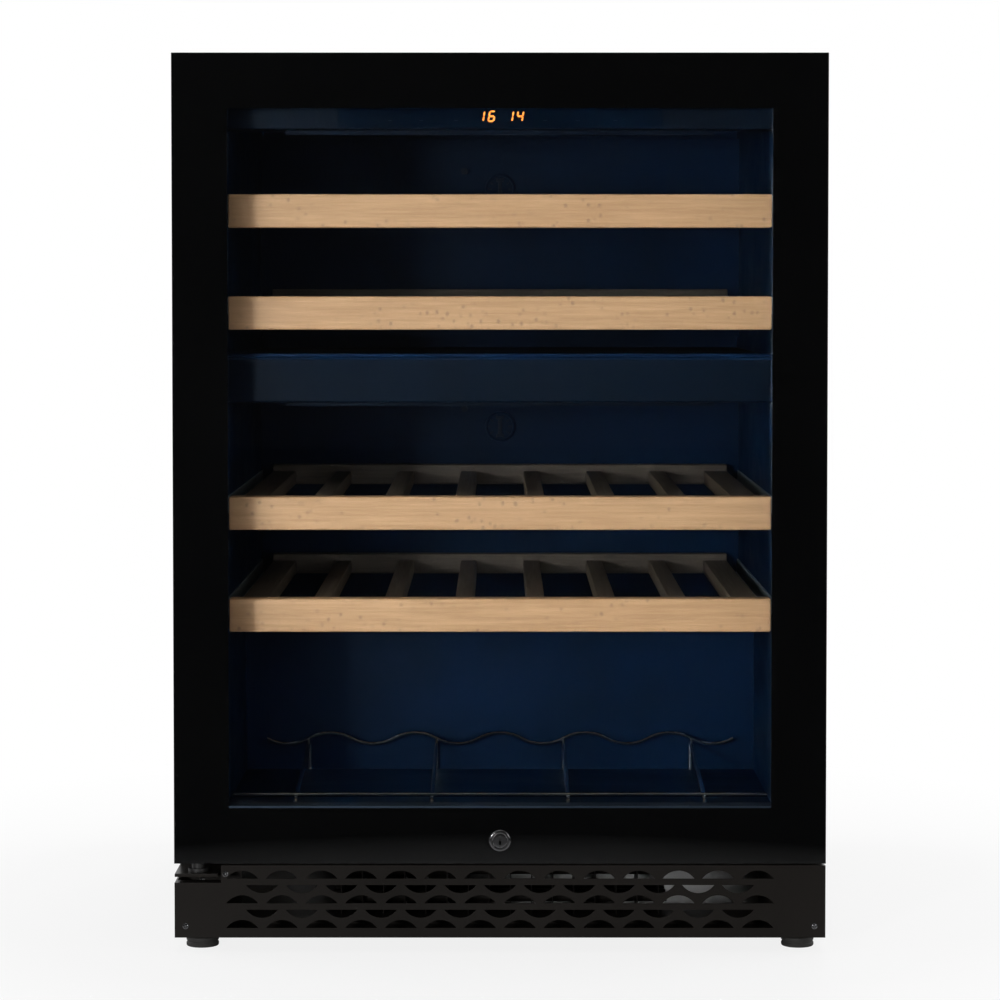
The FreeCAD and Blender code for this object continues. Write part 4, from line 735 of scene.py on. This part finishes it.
@dataclass
class Door:
    """The door: tinted outer pane with its printed border, frame, inner pane, spacer, gasket, bushes and lock."""

    border: float = 50 * MM
    sill: float = 50.6 * MM
    print_sheet: float = 0.1 * MM
    corner_round: float = 0.6
    pleats: int = 3
    pleat_depth: float = 1.1 * MM
    lock_round: float = 1.6 * MM

    def build(self) -> None:
        """Builds the door's pieces in order."""
        self.dress_glass()
        self.make_print()
        softened("door_frame", "door_frame_moulding", "door", "black_plastic", "black_plastic", self.corner_round)
        self.make_gasket()
        self.make_lock_rim()

    def dress_glass(self) -> None:
        """Gives the panes, the spacer and the bushes their finishes."""
        for node, finish in (("door_outer_glass", "door_glass"), ("door_inner_glass", "inner_glass"),
                             ("glass_spacer", "aluminium"), ("door_hinge_bushes", "black_plastic")):
            PAINTS.dress(frame["nodes"][node], finish)

    def make_print(self) -> bpy.types.Object:
        """Makes the black enamel border fired on the back of the outer pane, with the hole for the lock."""
        low, high = corners("door_outer_glass")
        front = high.y - self.print_sheet
        sheet = bmesh.new()
        add_block(sheet, Vector((low.x, front, low.z)), high)
        window = bmesh.new()
        add_block(window, Vector((low.x + self.border, front - 1 * MM, low.z + self.sill)),
                  Vector((high.x - self.border, high.y + 1 * MM, high.z - self.border)))
        rim_low, rim_high = corners("lock_housing")
        hole = bmesh.new()
        centre = Vector((0, high.y, (rim_low.z + rim_high.z) / 2))
        radius = rim_high.x + 0.3 * MM
        turned(hole, [(0.001 * MM, -1 * MM), (radius, -1 * MM), (radius, 1 * MM), (0.001 * MM, 1 * MM)], centre,
               Vector((0, 1, 0)), 48)
        mesh = cut_away(cut_away(sheet, window), hole)
        return finished("door_glass_print", mesh, "door", "gloss_black", "print", weighted=False)

    def make_gasket(self) -> bpy.types.Object:
        """Makes the pleated bellows of the magnetic gasket."""
        low, high = corners("door_gasket")
        width = 10.5 * MM
        mesh = bmesh.new()
        mesh.from_mesh(frame["nodes"]["door_gasket"].data)
        bmesh.ops.remove_doubles(mesh, verts=mesh.verts, dist=2e-6)
        bmesh.ops.dissolve_limit(mesh, angle_limit=math.radians(0.4), verts=mesh.verts, edges=mesh.edges)
        rings = 2 * self.pleats
        for index in range(1, rings):
            level = low.y + (high.y - low.y) * index / rings
            bmesh.ops.bisect_plane(mesh, geom=mesh.verts[:] + mesh.edges[:] + mesh.faces[:],
                                   plane_co=(0, level, 0), plane_no=(0, 1, 0))
            if index % 2 == 0:
                continue
            for vert in [v for v in mesh.verts if abs(v.co.y - level) < 1e-6]:
                vert.co += self.towards_core(vert.co, low, high, width) * self.pleat_depth
        piece = finished("door_gasket_bellows", mesh, "door", "gasket", "gasket")
        soften = piece.modifiers.new("soft_pleats", "BEVEL")
        soften.width = 0.7 * MM
        soften.segments = 2
        soften.limit_method = "ANGLE"
        soften.angle_limit = math.radians(15)
        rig.replaces(piece, "door_gasket")
        return piece

    def towards_core(self, point: Vector, low: Vector, high: Vector, width: float) -> Vector:
        """Returns the way from a point on the gasket's skin to the middle of its strip."""
        way = Vector((0, 0, 0))
        for axis in (0, 2):
            for edge, sign in ((low[axis], 1), (high[axis], -1)):
                if abs(point[axis] - edge) < 1e-5:
                    way[axis] = sign
                elif abs(point[axis] - (edge + sign * width)) < 1e-5:
                    way[axis] = -sign
        return way

    def make_lock_rim(self) -> bpy.types.Object:
        """Makes the lock's rounded rim and the tube behind it, and dresses the barrel."""
        low, high = corners("lock_housing")
        bore = corners("lock_barrel")[0]
        centre = Vector((0, low.y, (low.z + high.z) / 2))
        outer = (high.x - low.x) / 2
        inner = centre.z - bore.z + 0.05 * MM
        depth = high.y - low.y
        rim = 5.2 * MM
        outline = rounded([(inner, depth, 0), (inner, 0, 0.9 * MM), (outer, 0, self.lock_round), (outer, rim, 0),
                           (outer - 1 * MM, rim, 0), (outer - 1 * MM, depth, 0)], 6)
        mesh = bmesh.new()
        turned(mesh, outline, centre, Vector((0, 1, 0)), 64)
        piece = finished("lock_rim", mesh, "door", "black_plastic", "dark_chrome")
        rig.replaces(piece, "lock_housing")
        softened("lock_barrel", "lock_plug", "lock", "zinc_steel", "dark_chrome", 0.3)
        return piece


# ---------------------------------------------------------------- case

@dataclass
class Case:
    """The case: panels, plinth, brackets, screws, feet and what is behind the rear cover."""

    panel_edge: float = 0.45
    plinth_edge: float = 0.35
    screw_slot: float = 0.9 * MM
    softened_nodes: dict[str, tuple[str, float]] = field(default_factory=lambda: {
        "side_panel_left": ("black_steel", 0.45), "side_panel_right": ("black_steel", 0.45),
        "top_panel": ("black_steel", 0.45), "plinth_grille": ("black_steel", 0.35),
        "hinge_bracket_bottom": ("black_steel", 0.5), "hinge_bracket_top": ("black_steel", 0.5),
        "lock_keeper": ("zinc_steel", 0.3), "rear_cover": ("zinc_steel", 0.25),
        "power_inlet": ("black_plastic", 0.5), "drip_tray": ("black_plastic", 0.4),
    })
    plain_nodes: dict[str, str] = field(default_factory=lambda: {
        "back_panel": "zinc_steel", "front_frame": "black_steel", "insulation_foam": "foam",
        "base_tray": "black_steel", "compressor": "black_steel", "compressor_mounts": "rubber",
        "condenser": "black_steel", "condenser_fan_frame": "black_plastic", "condenser_fan_rotor": "black_plastic",
        "refrigerant_pipes": "copper",
    })

    def build(self) -> None:
        """Builds the case's pieces in order."""
        for node, (finish, edge) in self.softened_nodes.items():
            softened(node, node + "_finished", "cabinet", finish, finish, edge)
        for node, finish in self.plain_nodes.items():
            PAINTS.dress(frame["nodes"][node], finish)
        self.make_screws()
        for node in ("foot_front_left", "foot_front_right", "foot_rear_left", "foot_rear_right"):
            self.make_foot(node)

    def screw_places(self) -> list[Vector]:
        """Returns the middle of each screw head's flat side, found from the separate heads of the node."""
        mesh = bmesh.new()
        mesh.from_mesh(frame["nodes"]["case_screws"].data)
        bmesh.ops.remove_doubles(mesh, verts=mesh.verts, dist=2e-6)
        places = []
        left = set(mesh.verts)
        while left:
            island, front = set(), [left.pop()]
            while front:
                vert = front.pop()
                island.add(vert)
                for edge in vert.link_edges:
                    other = edge.other_vert(vert)
                    if other in left:
                        left.discard(other)
                        front.append(other)
            middle = sum((v.co for v in island), Vector()) / len(island)
            places.append(Vector((middle.x, max(v.co.y for v in island), middle.z)))
        mesh.free()
        return places

    def make_screws(self) -> bpy.types.Object:
        """Makes the domed screw heads with their cross slots."""
        radius, height = 2.9 * MM, 1.2 * MM
        mesh = bmesh.new()
        for place in self.screw_places():
            dome = [(0.001 * MM, -height)]
            dome += [(radius * math.sin(a), -height * (0.25 + 0.75 * math.cos(a)))
                     for a in (math.pi / 2 * step / 6 for step in range(1, 7))]
            dome += [(radius, 0.0), (0.001 * MM, 0.0)]
            verts = turned(mesh, dome, place, Vector((0, 1, 0)), 24)
            for turn in (0.3, 0.3 + math.pi / 2):
                self.press_slot(verts, place, turn, radius * 0.62, height)
        piece = finished("case_screw_heads", mesh, "cabinet", "zinc_steel", "dark_chrome")
        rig.replaces(piece, "case_screws")
        return piece

    def press_slot(self, verts: list, place: Vector, turn: float, reach: float, height: float) -> None:
        """Presses one arm of a cross slot into a screw head."""
        along = Vector((math.cos(turn), 0, math.sin(turn)))
        for vert in verts:
            offset = vert.co - place
            offset.y = 0
            beside = abs(offset.x * -along.z + offset.z * along.x)
            if offset.length < reach and beside < self.screw_slot / 2:
                vert.co.y = place.y - height * 0.25

    def make_foot(self, node: str) -> bpy.types.Object:
        """Makes a screw foot: ribbed pad with a rounded rim, neck and threaded stem."""
        low, high = corners(node)
        centre = Vector(((low.x + high.x) / 2, (low.y + high.y) / 2, low.z))
        radius = (high.x - low.x) / 2
        pad, neck, stem, shoulder = 9 * MM, 11 * MM, 4.95 * MM, 13.7 * MM
        outline = [(0.001 * MM, 0, 0), (radius, 0, 1.4 * MM), (radius, 3.2 * MM, 0.3 * MM),
                   (radius - 0.7 * MM, 3.6 * MM, 0.3 * MM), (radius - 0.7 * MM, 5.2 * MM, 0.3 * MM),
                   (radius, 5.6 * MM, 0.3 * MM), (radius, pad, 1.0 * MM), (neck, pad, 0.4 * MM), (neck, shoulder, 0)]
        pitch = 1.5 * MM
        turns = int((high.z - low.z - shoulder) // pitch)
        for index in range(turns):
            level = shoulder + pitch * index
            outline += [(stem - 0.5 * MM, level, 0), (stem, level + pitch / 2, 0)]
        outline += [(stem - 0.6 * MM, high.z - low.z, 0), (0.001 * MM, high.z - low.z, 0)]
        mesh = bmesh.new()
        turned(mesh, rounded(outline, 3), centre, Vector((0, 0, 1)), 48)
        piece = finished(node + "_screw", mesh, node, "black_plastic", "rubber")
        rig.replaces(piece, node)
        return piece


# ---------------------------------------------------------------- shelves

@dataclass
class Shelf:
    """One beech shelf: front strip, slats and rear bar."""

    number: int
    slat_count: int = 8
    slat_width: float = 17 * MM
    end_rail: float = 25 * MM
    slat_height: float = 14 * MM
    bar_depth: float = 14 * MM
    front_edge: float = 1.6 * MM
    slat_edge: float = 1.5 * MM

    @property
    def body(self) -> str:
        """The body that the shelf's pieces move with."""
        return f"shelf_{self.number}"

    def build(self) -> None:
        """Builds the shelf's pieces in order."""
        self.make_front()
        self.make_rack()

    def make_front(self) -> bpy.types.Object:
        """Makes the front strip with its rounded long edges."""
        low, high = corners(self.body + "_fascia")
        mesh = bmesh.new()
        add_block(mesh, low, high, self.front_edge, 3)
        piece = finished(self.body + "_front", mesh, self.body, "beech", "beech")
        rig.replaces(piece, self.body + "_fascia")
        return piece

    def slat_spans(self, half: float) -> list[tuple[float, float]]:
        """Returns the left and right side of each slat across a rack of this half width."""
        pitch = (2 * half - self.slat_width) / (self.slat_count - 1)
        spans = [(-half, -half + self.end_rail)]
        for index in range(1, self.slat_count - 1):
            middle = pitch * (index - (self.slat_count - 1) / 2)
            spans.append((middle - self.slat_width / 2, middle + self.slat_width / 2))
        spans.append((half - self.end_rail, half))
        return spans

    def make_rack(self) -> None:
        """Makes the slats that run back from the front strip, and the bar across their ends."""
        low, high = corners(self.body + "_rack")
        top = corners(self.body + "_fascia")[1].z - 1 * MM
        bar_front = high.y - self.bar_depth
        slats = bmesh.new()
        for left, right in self.slat_spans(high.x):
            add_block(slats, Vector((left, low.y, top - self.slat_height)), Vector((right, bar_front, top)),
                      self.slat_edge, 2)
        # The slats take the front's beech darkened, painted shade for the cavity's depth rather than a darker wood.
        finished(self.body + "_slats", slats, self.body, "beech", "beech_deep")
        bar = bmesh.new()
        add_block(bar, Vector((low.x, bar_front, low.z)), Vector((high.x, high.y, high.z)), self.slat_edge, 3)
        # The rear bar takes the beech darkened further still: painted shade for the back of the cavity, not a darker
        # wood.
        piece = finished(self.body + "_rear_bar", bar, self.body, "beech", "beech_bar")
        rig.replaces(piece, self.body + "_rack")


# ---------------------------------------------------------------- cavity

@dataclass
class Digit:
    """A slanted seven-segment digit of the display."""

    SEGMENTS = {"0": "abcdef", "1": "bc", "2": "abged", "3": "abgcd", "4": "fgbc", "5": "afgcd", "6": "afgedc",
                "7": "abc", "8": "abcdefg", "9": "abcdfg"}
    SPOTS = {"a": (0.0, 1.0, True), "b": (0.5, 0.5, False), "c": (0.5, -0.5, False), "d": (0.0, -1.0, True),
             "e": (-0.5, -0.5, False), "f": (-0.5, 0.5, False), "g": (0.0, 0.0, True)}
    figure: str
    across: float
    level: float
    height: float = 10.6 * MM
    width: float = 5.0 * MM
    stroke: float = 1.55 * MM
    slant: float = 0.17

    def add_to(self, mesh: bmesh.types.BMesh, front: float, thickness: float) -> None:
        """Adds the digit's lit segments, raised from the lens.

        Args:
            mesh: the bmesh to add to.
            front: the lens's front face.
            thickness: how far the segments stand out.
        """
        half = self.height / 2 - self.stroke / 2
        for segment in self.SEGMENTS[self.figure]:
            side, up, lying = self.SPOTS[segment]
            middle = Vector((side * self.width, 0, up * half))
            reach = (self.width if lying else half) / 2 - 0.12 * MM
            verts = bmesh.ops.create_circle(mesh, segments=6, radius=1.0, cap_ends=True)["verts"]
            for vert in verts:
                tip = abs(vert.co.y) > 0.9
                along = math.copysign(reach if tip else reach - self.stroke / 2, vert.co.y)
                beside = 0.0 if tip else math.copysign(self.stroke / 2, vert.co.x)
                flat = Vector((along, 0, beside)) if lying else Vector((beside, 0, along))
                spot = middle + flat
                vert.co = Vector((self.across + spot.x + self.slant * spot.z, front, self.level + spot.z))
            face = next(f for f in verts[0].link_faces)
            raised = bmesh.ops.extrude_face_region(mesh, geom=[face])["geom"]
            bmesh.ops.translate(mesh, verts=[v for v in raised if isinstance(v, bmesh.types.BMVert)],
                                vec=(0, -thickness, 0))


@dataclass
class Cavity:
    """The inside: liners, divider, control strip with its display, duct covers, caps, rails and wire rack."""

    raised: float = 0.12 * MM
    level_offset: float = -0.05 * MM
    plain_nodes: dict[str, str] = field(default_factory=lambda: {
        "upper_liner": "liner", "lower_liner": "liner", "shelf_rails": "zinc_steel", "control_board": "board",
        "interior_lights": "light", "duct_covers": "liner", "evaporators": "aluminium",
        "circulation_fan_frames": "black_plastic", "fan_rotor_upper": "black_plastic",
        "fan_rotor_lower": "black_plastic", "filter_sockets": "liner", "temperature_sensors": "cap_grip",
    })

    def build(self) -> None:
        """Builds the cavity's pieces in order."""
        for node, finish in self.plain_nodes.items():
            PAINTS.dress(frame["nodes"][node], finish)
        softened("zone_divider", "zone_divider_skin", "cabinet", "liner", "trim", 2.0, 3)
        self.make_divider_lip()
        softened("control_housing", "control_strip", "cabinet", "black_plastic", "trim", 0.8)
        softened("display_lens", "display_window", "cabinet", "gloss_black", "gloss_black", 0.4)
        self.make_digits()
        self.make_symbols()
        for zone in ("upper", "lower"):
            self.make_cap(zone)
        self.make_wire_rack()

    def make_divider_lip(self) -> bpy.types.Object:
        """Makes the two rounded beads along the divider's top front edge."""
        low, high = corners("zone_divider")
        mesh = bmesh.new()
        side = high.x - 3 * MM
        for bottom, top, back in ((high.z - 2.2 * MM, high.z + 0.2 * MM, 3.0 * MM),
                                  (high.z + 0.2 * MM, high.z + 3.4 * MM, 2.4 * MM)):
            add_block(mesh, Vector((-side, low.y - 0.6 * MM, bottom)), Vector((side, low.y + back, top)), 0.9 * MM, 3)
        front = corners("upper_liner")[0].y
        for sign in (-1, 1):
            outer, inner = sorted((sign * high.x, sign * (high.x - 1 * MM)))
            add_block(mesh, Vector((outer, front, low.z - 0.5 * MM)), Vector((inner, low.y, high.z + 0.5 * MM)))
        return finished("divider_lip", mesh, "cabinet", "liner", "liner")

    def make_digits(self) -> bpy.types.Object:
        """Makes the two lit temperatures."""
        low, high = corners("display_lens")
        level = (low.z + high.z) / 2 + self.level_offset
        mesh = bmesh.new()
        for figure, across in (("1", -17.4 * MM), ("6", -7.6 * MM), ("1", 9.3 * MM), ("4", 18.6 * MM)):
            Digit(figure, across, level).add_to(mesh, low.y, self.raised)
        bmesh.ops.recalc_face_normals(mesh, faces=mesh.faces)
        return finished("display_digits", mesh, "cabinet", "light", "glow", weighted=False)

    def make_symbols(self) -> bpy.types.Object:
        """Makes the faint touch symbols: light, warmer, cooler and power."""
        low, high = corners("display_lens")
        level = (low.z + high.z) / 2
        mesh = bmesh.new()
        for across, sides, turn in ((-101.8, 20, 0.0), (-72.6, 3, 0.5), (-40.6, 3, -0.5), (41.6, 3, 0.5),
                                    (71.8, 3, -0.5), (106.6, 20, 0.0)):
            self.add_outline(mesh, Vector((across * MM, low.y, level)), sides, turn * math.pi)
            base = Vector((across * MM, low.y, level - 4.0 * MM))
            add_block(mesh, base - Vector((1.8 * MM, self.raised, 0.25 * MM)), base + Vector((1.8 * MM, 0, 0.25 * MM)))
        return finished("touch_symbols", mesh, "cabinet", "light", "icon", weighted=False)

    def add_outline(self, mesh: bmesh.types.BMesh, centre: Vector, sides: int, turn: float) -> None:
        """Adds a thin raised outline with this many sides."""
        radius = 2.6 * MM
        upright = Matrix.Translation(centre) @ Matrix.Rotation(math.pi / 2, 4, "X") @ Matrix.Rotation(turn, 4, "Z")
        verts = bmesh.ops.create_circle(mesh, segments=sides, radius=radius, cap_ends=True, matrix=upright)["verts"]
        face = verts[0].link_faces[0]
        bmesh.ops.inset_region(mesh, faces=[face], thickness=0.45 * MM, use_even_offset=True)
        ring = [f for v in verts for f in v.link_faces if f is not face]
        bmesh.ops.delete(mesh, geom=[face], context="FACES_ONLY")
        raised = bmesh.ops.extrude_face_region(mesh, geom=list(set(ring)))["geom"]
        bmesh.ops.translate(mesh, verts=[v for v in raised if isinstance(v, bmesh.types.BMVert)],
                            vec=(0, -self.raised, 0))

    def make_cap(self, zone: str) -> bpy.types.Object:
        """Makes a filter cap: dished disc with a rounded rim, a ring of vents and an I-shaped grip."""
        node = "filter_cap_" + zone
        low, high = corners(node)
        radius = (high.x - low.x) / 2
        centre = Vector((0, low.y, (low.z + high.z) / 2))
        disc, recess, rim, spigot = 5 * MM, 2.2 * MM, 2.6 * MM, high.y - low.y
        outline = rounded([(0.001 * MM, recess, 0), (radius - rim, recess, 0.4 * MM), (radius - rim, 0, 0.9 * MM),
                           (radius, 0, 1.2 * MM), (radius, disc, 0.3 * MM), (radius - rim - 2.3 * MM, disc, 0),
                           (radius - rim - 2.3 * MM, spigot, 0), (0.001 * MM, spigot, 0)], 5)
        mesh = bmesh.new()
        turned(mesh, outline, centre, Vector((0, 1, 0)), 64)
        piece = finished(node + "_dial", mesh, node, "black_plastic", "liner")
        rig.replaces(piece, node)
        mesh = bmesh.new()
        vents = 10
        for index in range(vents):
            angle = FULL_TURN * (index + 0.5) / vents
            turn = Matrix.Translation(centre) @ Matrix.Rotation(angle, 4, "Y")
            verts = add_block(mesh, Vector((-0.8 * MM, 0.7 * MM, 8.6 * MM)), Vector((0.8 * MM, recess + 0.2 * MM, 13.0 * MM)),
                              0.3 * MM, 1)
            bmesh.ops.transform(mesh, matrix=turn, verts=verts)
        for start, end in (((-2.0, -9.0), (2.0, 9.0)), ((-4.0, 8.0), (4.0, 11.0)), ((-4.0, -11.0), (4.0, -8.0))):
            add_block(mesh, centre + Vector((start[0] * MM, 0.2 * MM, start[1] * MM)),
                      centre + Vector((end[0] * MM, recess + 0.2 * MM, end[1] * MM)), 0.5 * MM, 2)
        return finished(node + "_grip", mesh, node, "black_plastic", "cap_grip")

    def make_wire_rack(self) -> None:
        """Gives the wire rack its chrome and smooth shading on a clean copy."""
        mesh = bmesh.new()
        mesh.from_mesh(frame["nodes"]["wire_rack"].data)
        bmesh.ops.remove_doubles(mesh, verts=mesh.verts, dist=2e-6)
        piece = finished("wire_rack_chromed", mesh, "cabinet", "chrome", "chrome", weighted=False)
        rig.replaces(piece, "wire_rack")


# ---------------------------------------------------------------- studio

@dataclass
class Lamp:
    """A soft square lamp that points at the cooler."""

    name: str
    place: tuple[float, float, float]
    target: tuple[float, float, float]
    size: float
    watts: float

    def build(self) -> None:
        """Adds the lamp to the scene."""
        data = bpy.data.lights.new(self.name, "AREA")
        data.size = self.size
        data.energy = self.watts
        lamp = bpy.data.objects.new(self.name, data)
        lamp.location = self.place
        way = Vector(self.target) - Vector(self.place)
        lamp.rotation_euler = way.to_track_quat("-Z", "Y").to_euler()
        bpy.context.scene.collection.objects.link(lamp)


@dataclass
class Studio:
    """Camera, lamps, pale floor and white surroundings."""

    camera_height: float = 0.61
    camera_distance: float = 2.8
    tilt: float = 2.135
    lens: float = 111.1
    shift: float = -0.10
    lamps: tuple[Lamp, ...] = (
        Lamp("key_lamp", (-1.25, -3.1, 0.62), (0.0, -0.2, 0.42), 0.28, 40.0),
        Lamp("fill_lamp", (1.95, -2.9, 0.75), (0.0, -0.2, 0.42), 0.8, 11.0),
        Lamp("top_lamp", (0.0, 0.3, 2.9), (0.0, 0.0, 0.8), 2.0, 26.0),
        Lamp("left_lamp", (-2.6, 0.8, 1.2), (0.0, 0.0, 0.4), 1.4, 22.0),
        Lamp("right_lamp", (2.6, 0.8, 1.2), (0.0, 0.0, 0.4), 1.4, 22.0),
        Lamp("back_lamp", (0.6, 3.0, 1.6), (0.0, 0.0, 0.4), 1.2, 40.0),
    )

    def build(self) -> None:
        """Builds the studio's parts in order."""
        self.make_camera()
        for lamp in self.lamps:
            lamp.build()
        self.make_floor()
        self.make_world()
        bpy.context.scene.view_settings.view_transform = "Standard"

    def make_camera(self) -> None:
        """Adds the camera in front of the door."""
        data = bpy.data.cameras.new("camera")
        data.lens = self.lens
        data.shift_y = self.shift
        camera = bpy.data.objects.new("camera", data)
        camera.location = (0.0, corners("door_outer_glass")[0].y - self.camera_distance, self.camera_height)
        camera.rotation_euler = (math.radians(90 - self.tilt), 0.0, 0.0)
        bpy.context.scene.collection.objects.link(camera)
        bpy.context.scene.camera = camera

    def make_floor(self) -> None:
        """Makes the pale floor, which turns plain white away from the cooler."""
        mesh = bmesh.new()
        bmesh.ops.create_grid(mesh, x_segments=1, y_segments=1, size=9.0)
        data = bpy.data.meshes.new("floor")
        mesh.to_mesh(data)
        mesh.free()
        floor = bpy.data.objects.new("floor", data)
        bpy.context.scene.collection.objects.link(floor)
        material = bpy.data.materials.new("pale_floor")
        material.use_nodes = True
        graph = Graph(material.node_tree)
        graph.tree.nodes.clear()
        own = graph.add("TexCoord").outputs["Object"]
        reach = graph.add("VectorMath", {0: own}, operation="LENGTH").outputs["Value"]
        near = graph.spread(reach, 1.0, 0.0, 0.5, 0.9)
        path = graph.add("LightPath")
        seen = path.outputs["Is Camera Ray"]
        grain = graph.noise(own, 30.0, 2.0)
        matt = graph.add("BsdfDiffuse", {"Color": graph.blend(grain, (0.86, 0.86, 0.86), (0.88, 0.88, 0.88))})
        far = graph.add("Emission", {"Color": graph.blend(seen, (0.004, 0.004, 0.004), (1.0, 1.0, 1.0))})
        whitened = graph.sum("MULTIPLY", near, graph.spread(seen, 1.0, 0.16))
        both = graph.add("MixShader", {0: whitened, 1: far.outputs[0], 2: matt.outputs[0]})
        graph.add("OutputMaterial", {"Surface": both.outputs[0]})
        floor.data.materials.append(material)
        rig.stage(floor)

    def make_world(self) -> None:
        """Makes the surroundings: white to look at, bright behind and dark in front in reflections."""
        world = bpy.data.worlds.new("surroundings")
        world.use_nodes = True
        graph = Graph(world.node_tree)
        graph.tree.nodes.clear()
        way = graph.add("SeparateXYZ", {0: graph.add("TexCoord").outputs["Generated"]}).outputs[1]
        behind = graph.spread(way, 0.008, 1.0, -0.5, 0.3)
        path = graph.add("LightPath")
        bounced = graph.sum("MAXIMUM", path.outputs["Is Glossy Ray"], path.outputs["Is Transmission Ray"])
        light = graph.blend(bounced, (0.20, 0.20, 0.20), behind)
        shown = graph.blend(path.outputs["Is Camera Ray"], light, (1.0, 1.0, 1.0))
        ground = graph.add("Background", {"Color": shown, "Strength": 1.0})
        graph.add("OutputWorld", {"Surface": ground.outputs[0]})
        bpy.context.scene.world = world


def write_sizes(cad: tuple, shown: tuple) -> None:
    """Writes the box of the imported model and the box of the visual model, as plain lists."""
    with open(SIZE_FILE, "w") as out:
        json.dump({"cad": [list(corner) for corner in cad], "visual": [list(corner) for corner in shown]}, out)


def main() -> None:
    """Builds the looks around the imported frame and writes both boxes."""
    logging.basicConfig(level=logging.INFO, format="%(name)s: %(message)s")
    cad_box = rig.bounds()
    Studio().build()
    Door().build()
    Case().build()
    for number in range(1, 5):
        Shelf(number).build()
    Cavity().build()
    write_sizes(cad_box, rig.bounds())


if __name__ == "__main__":
    main()
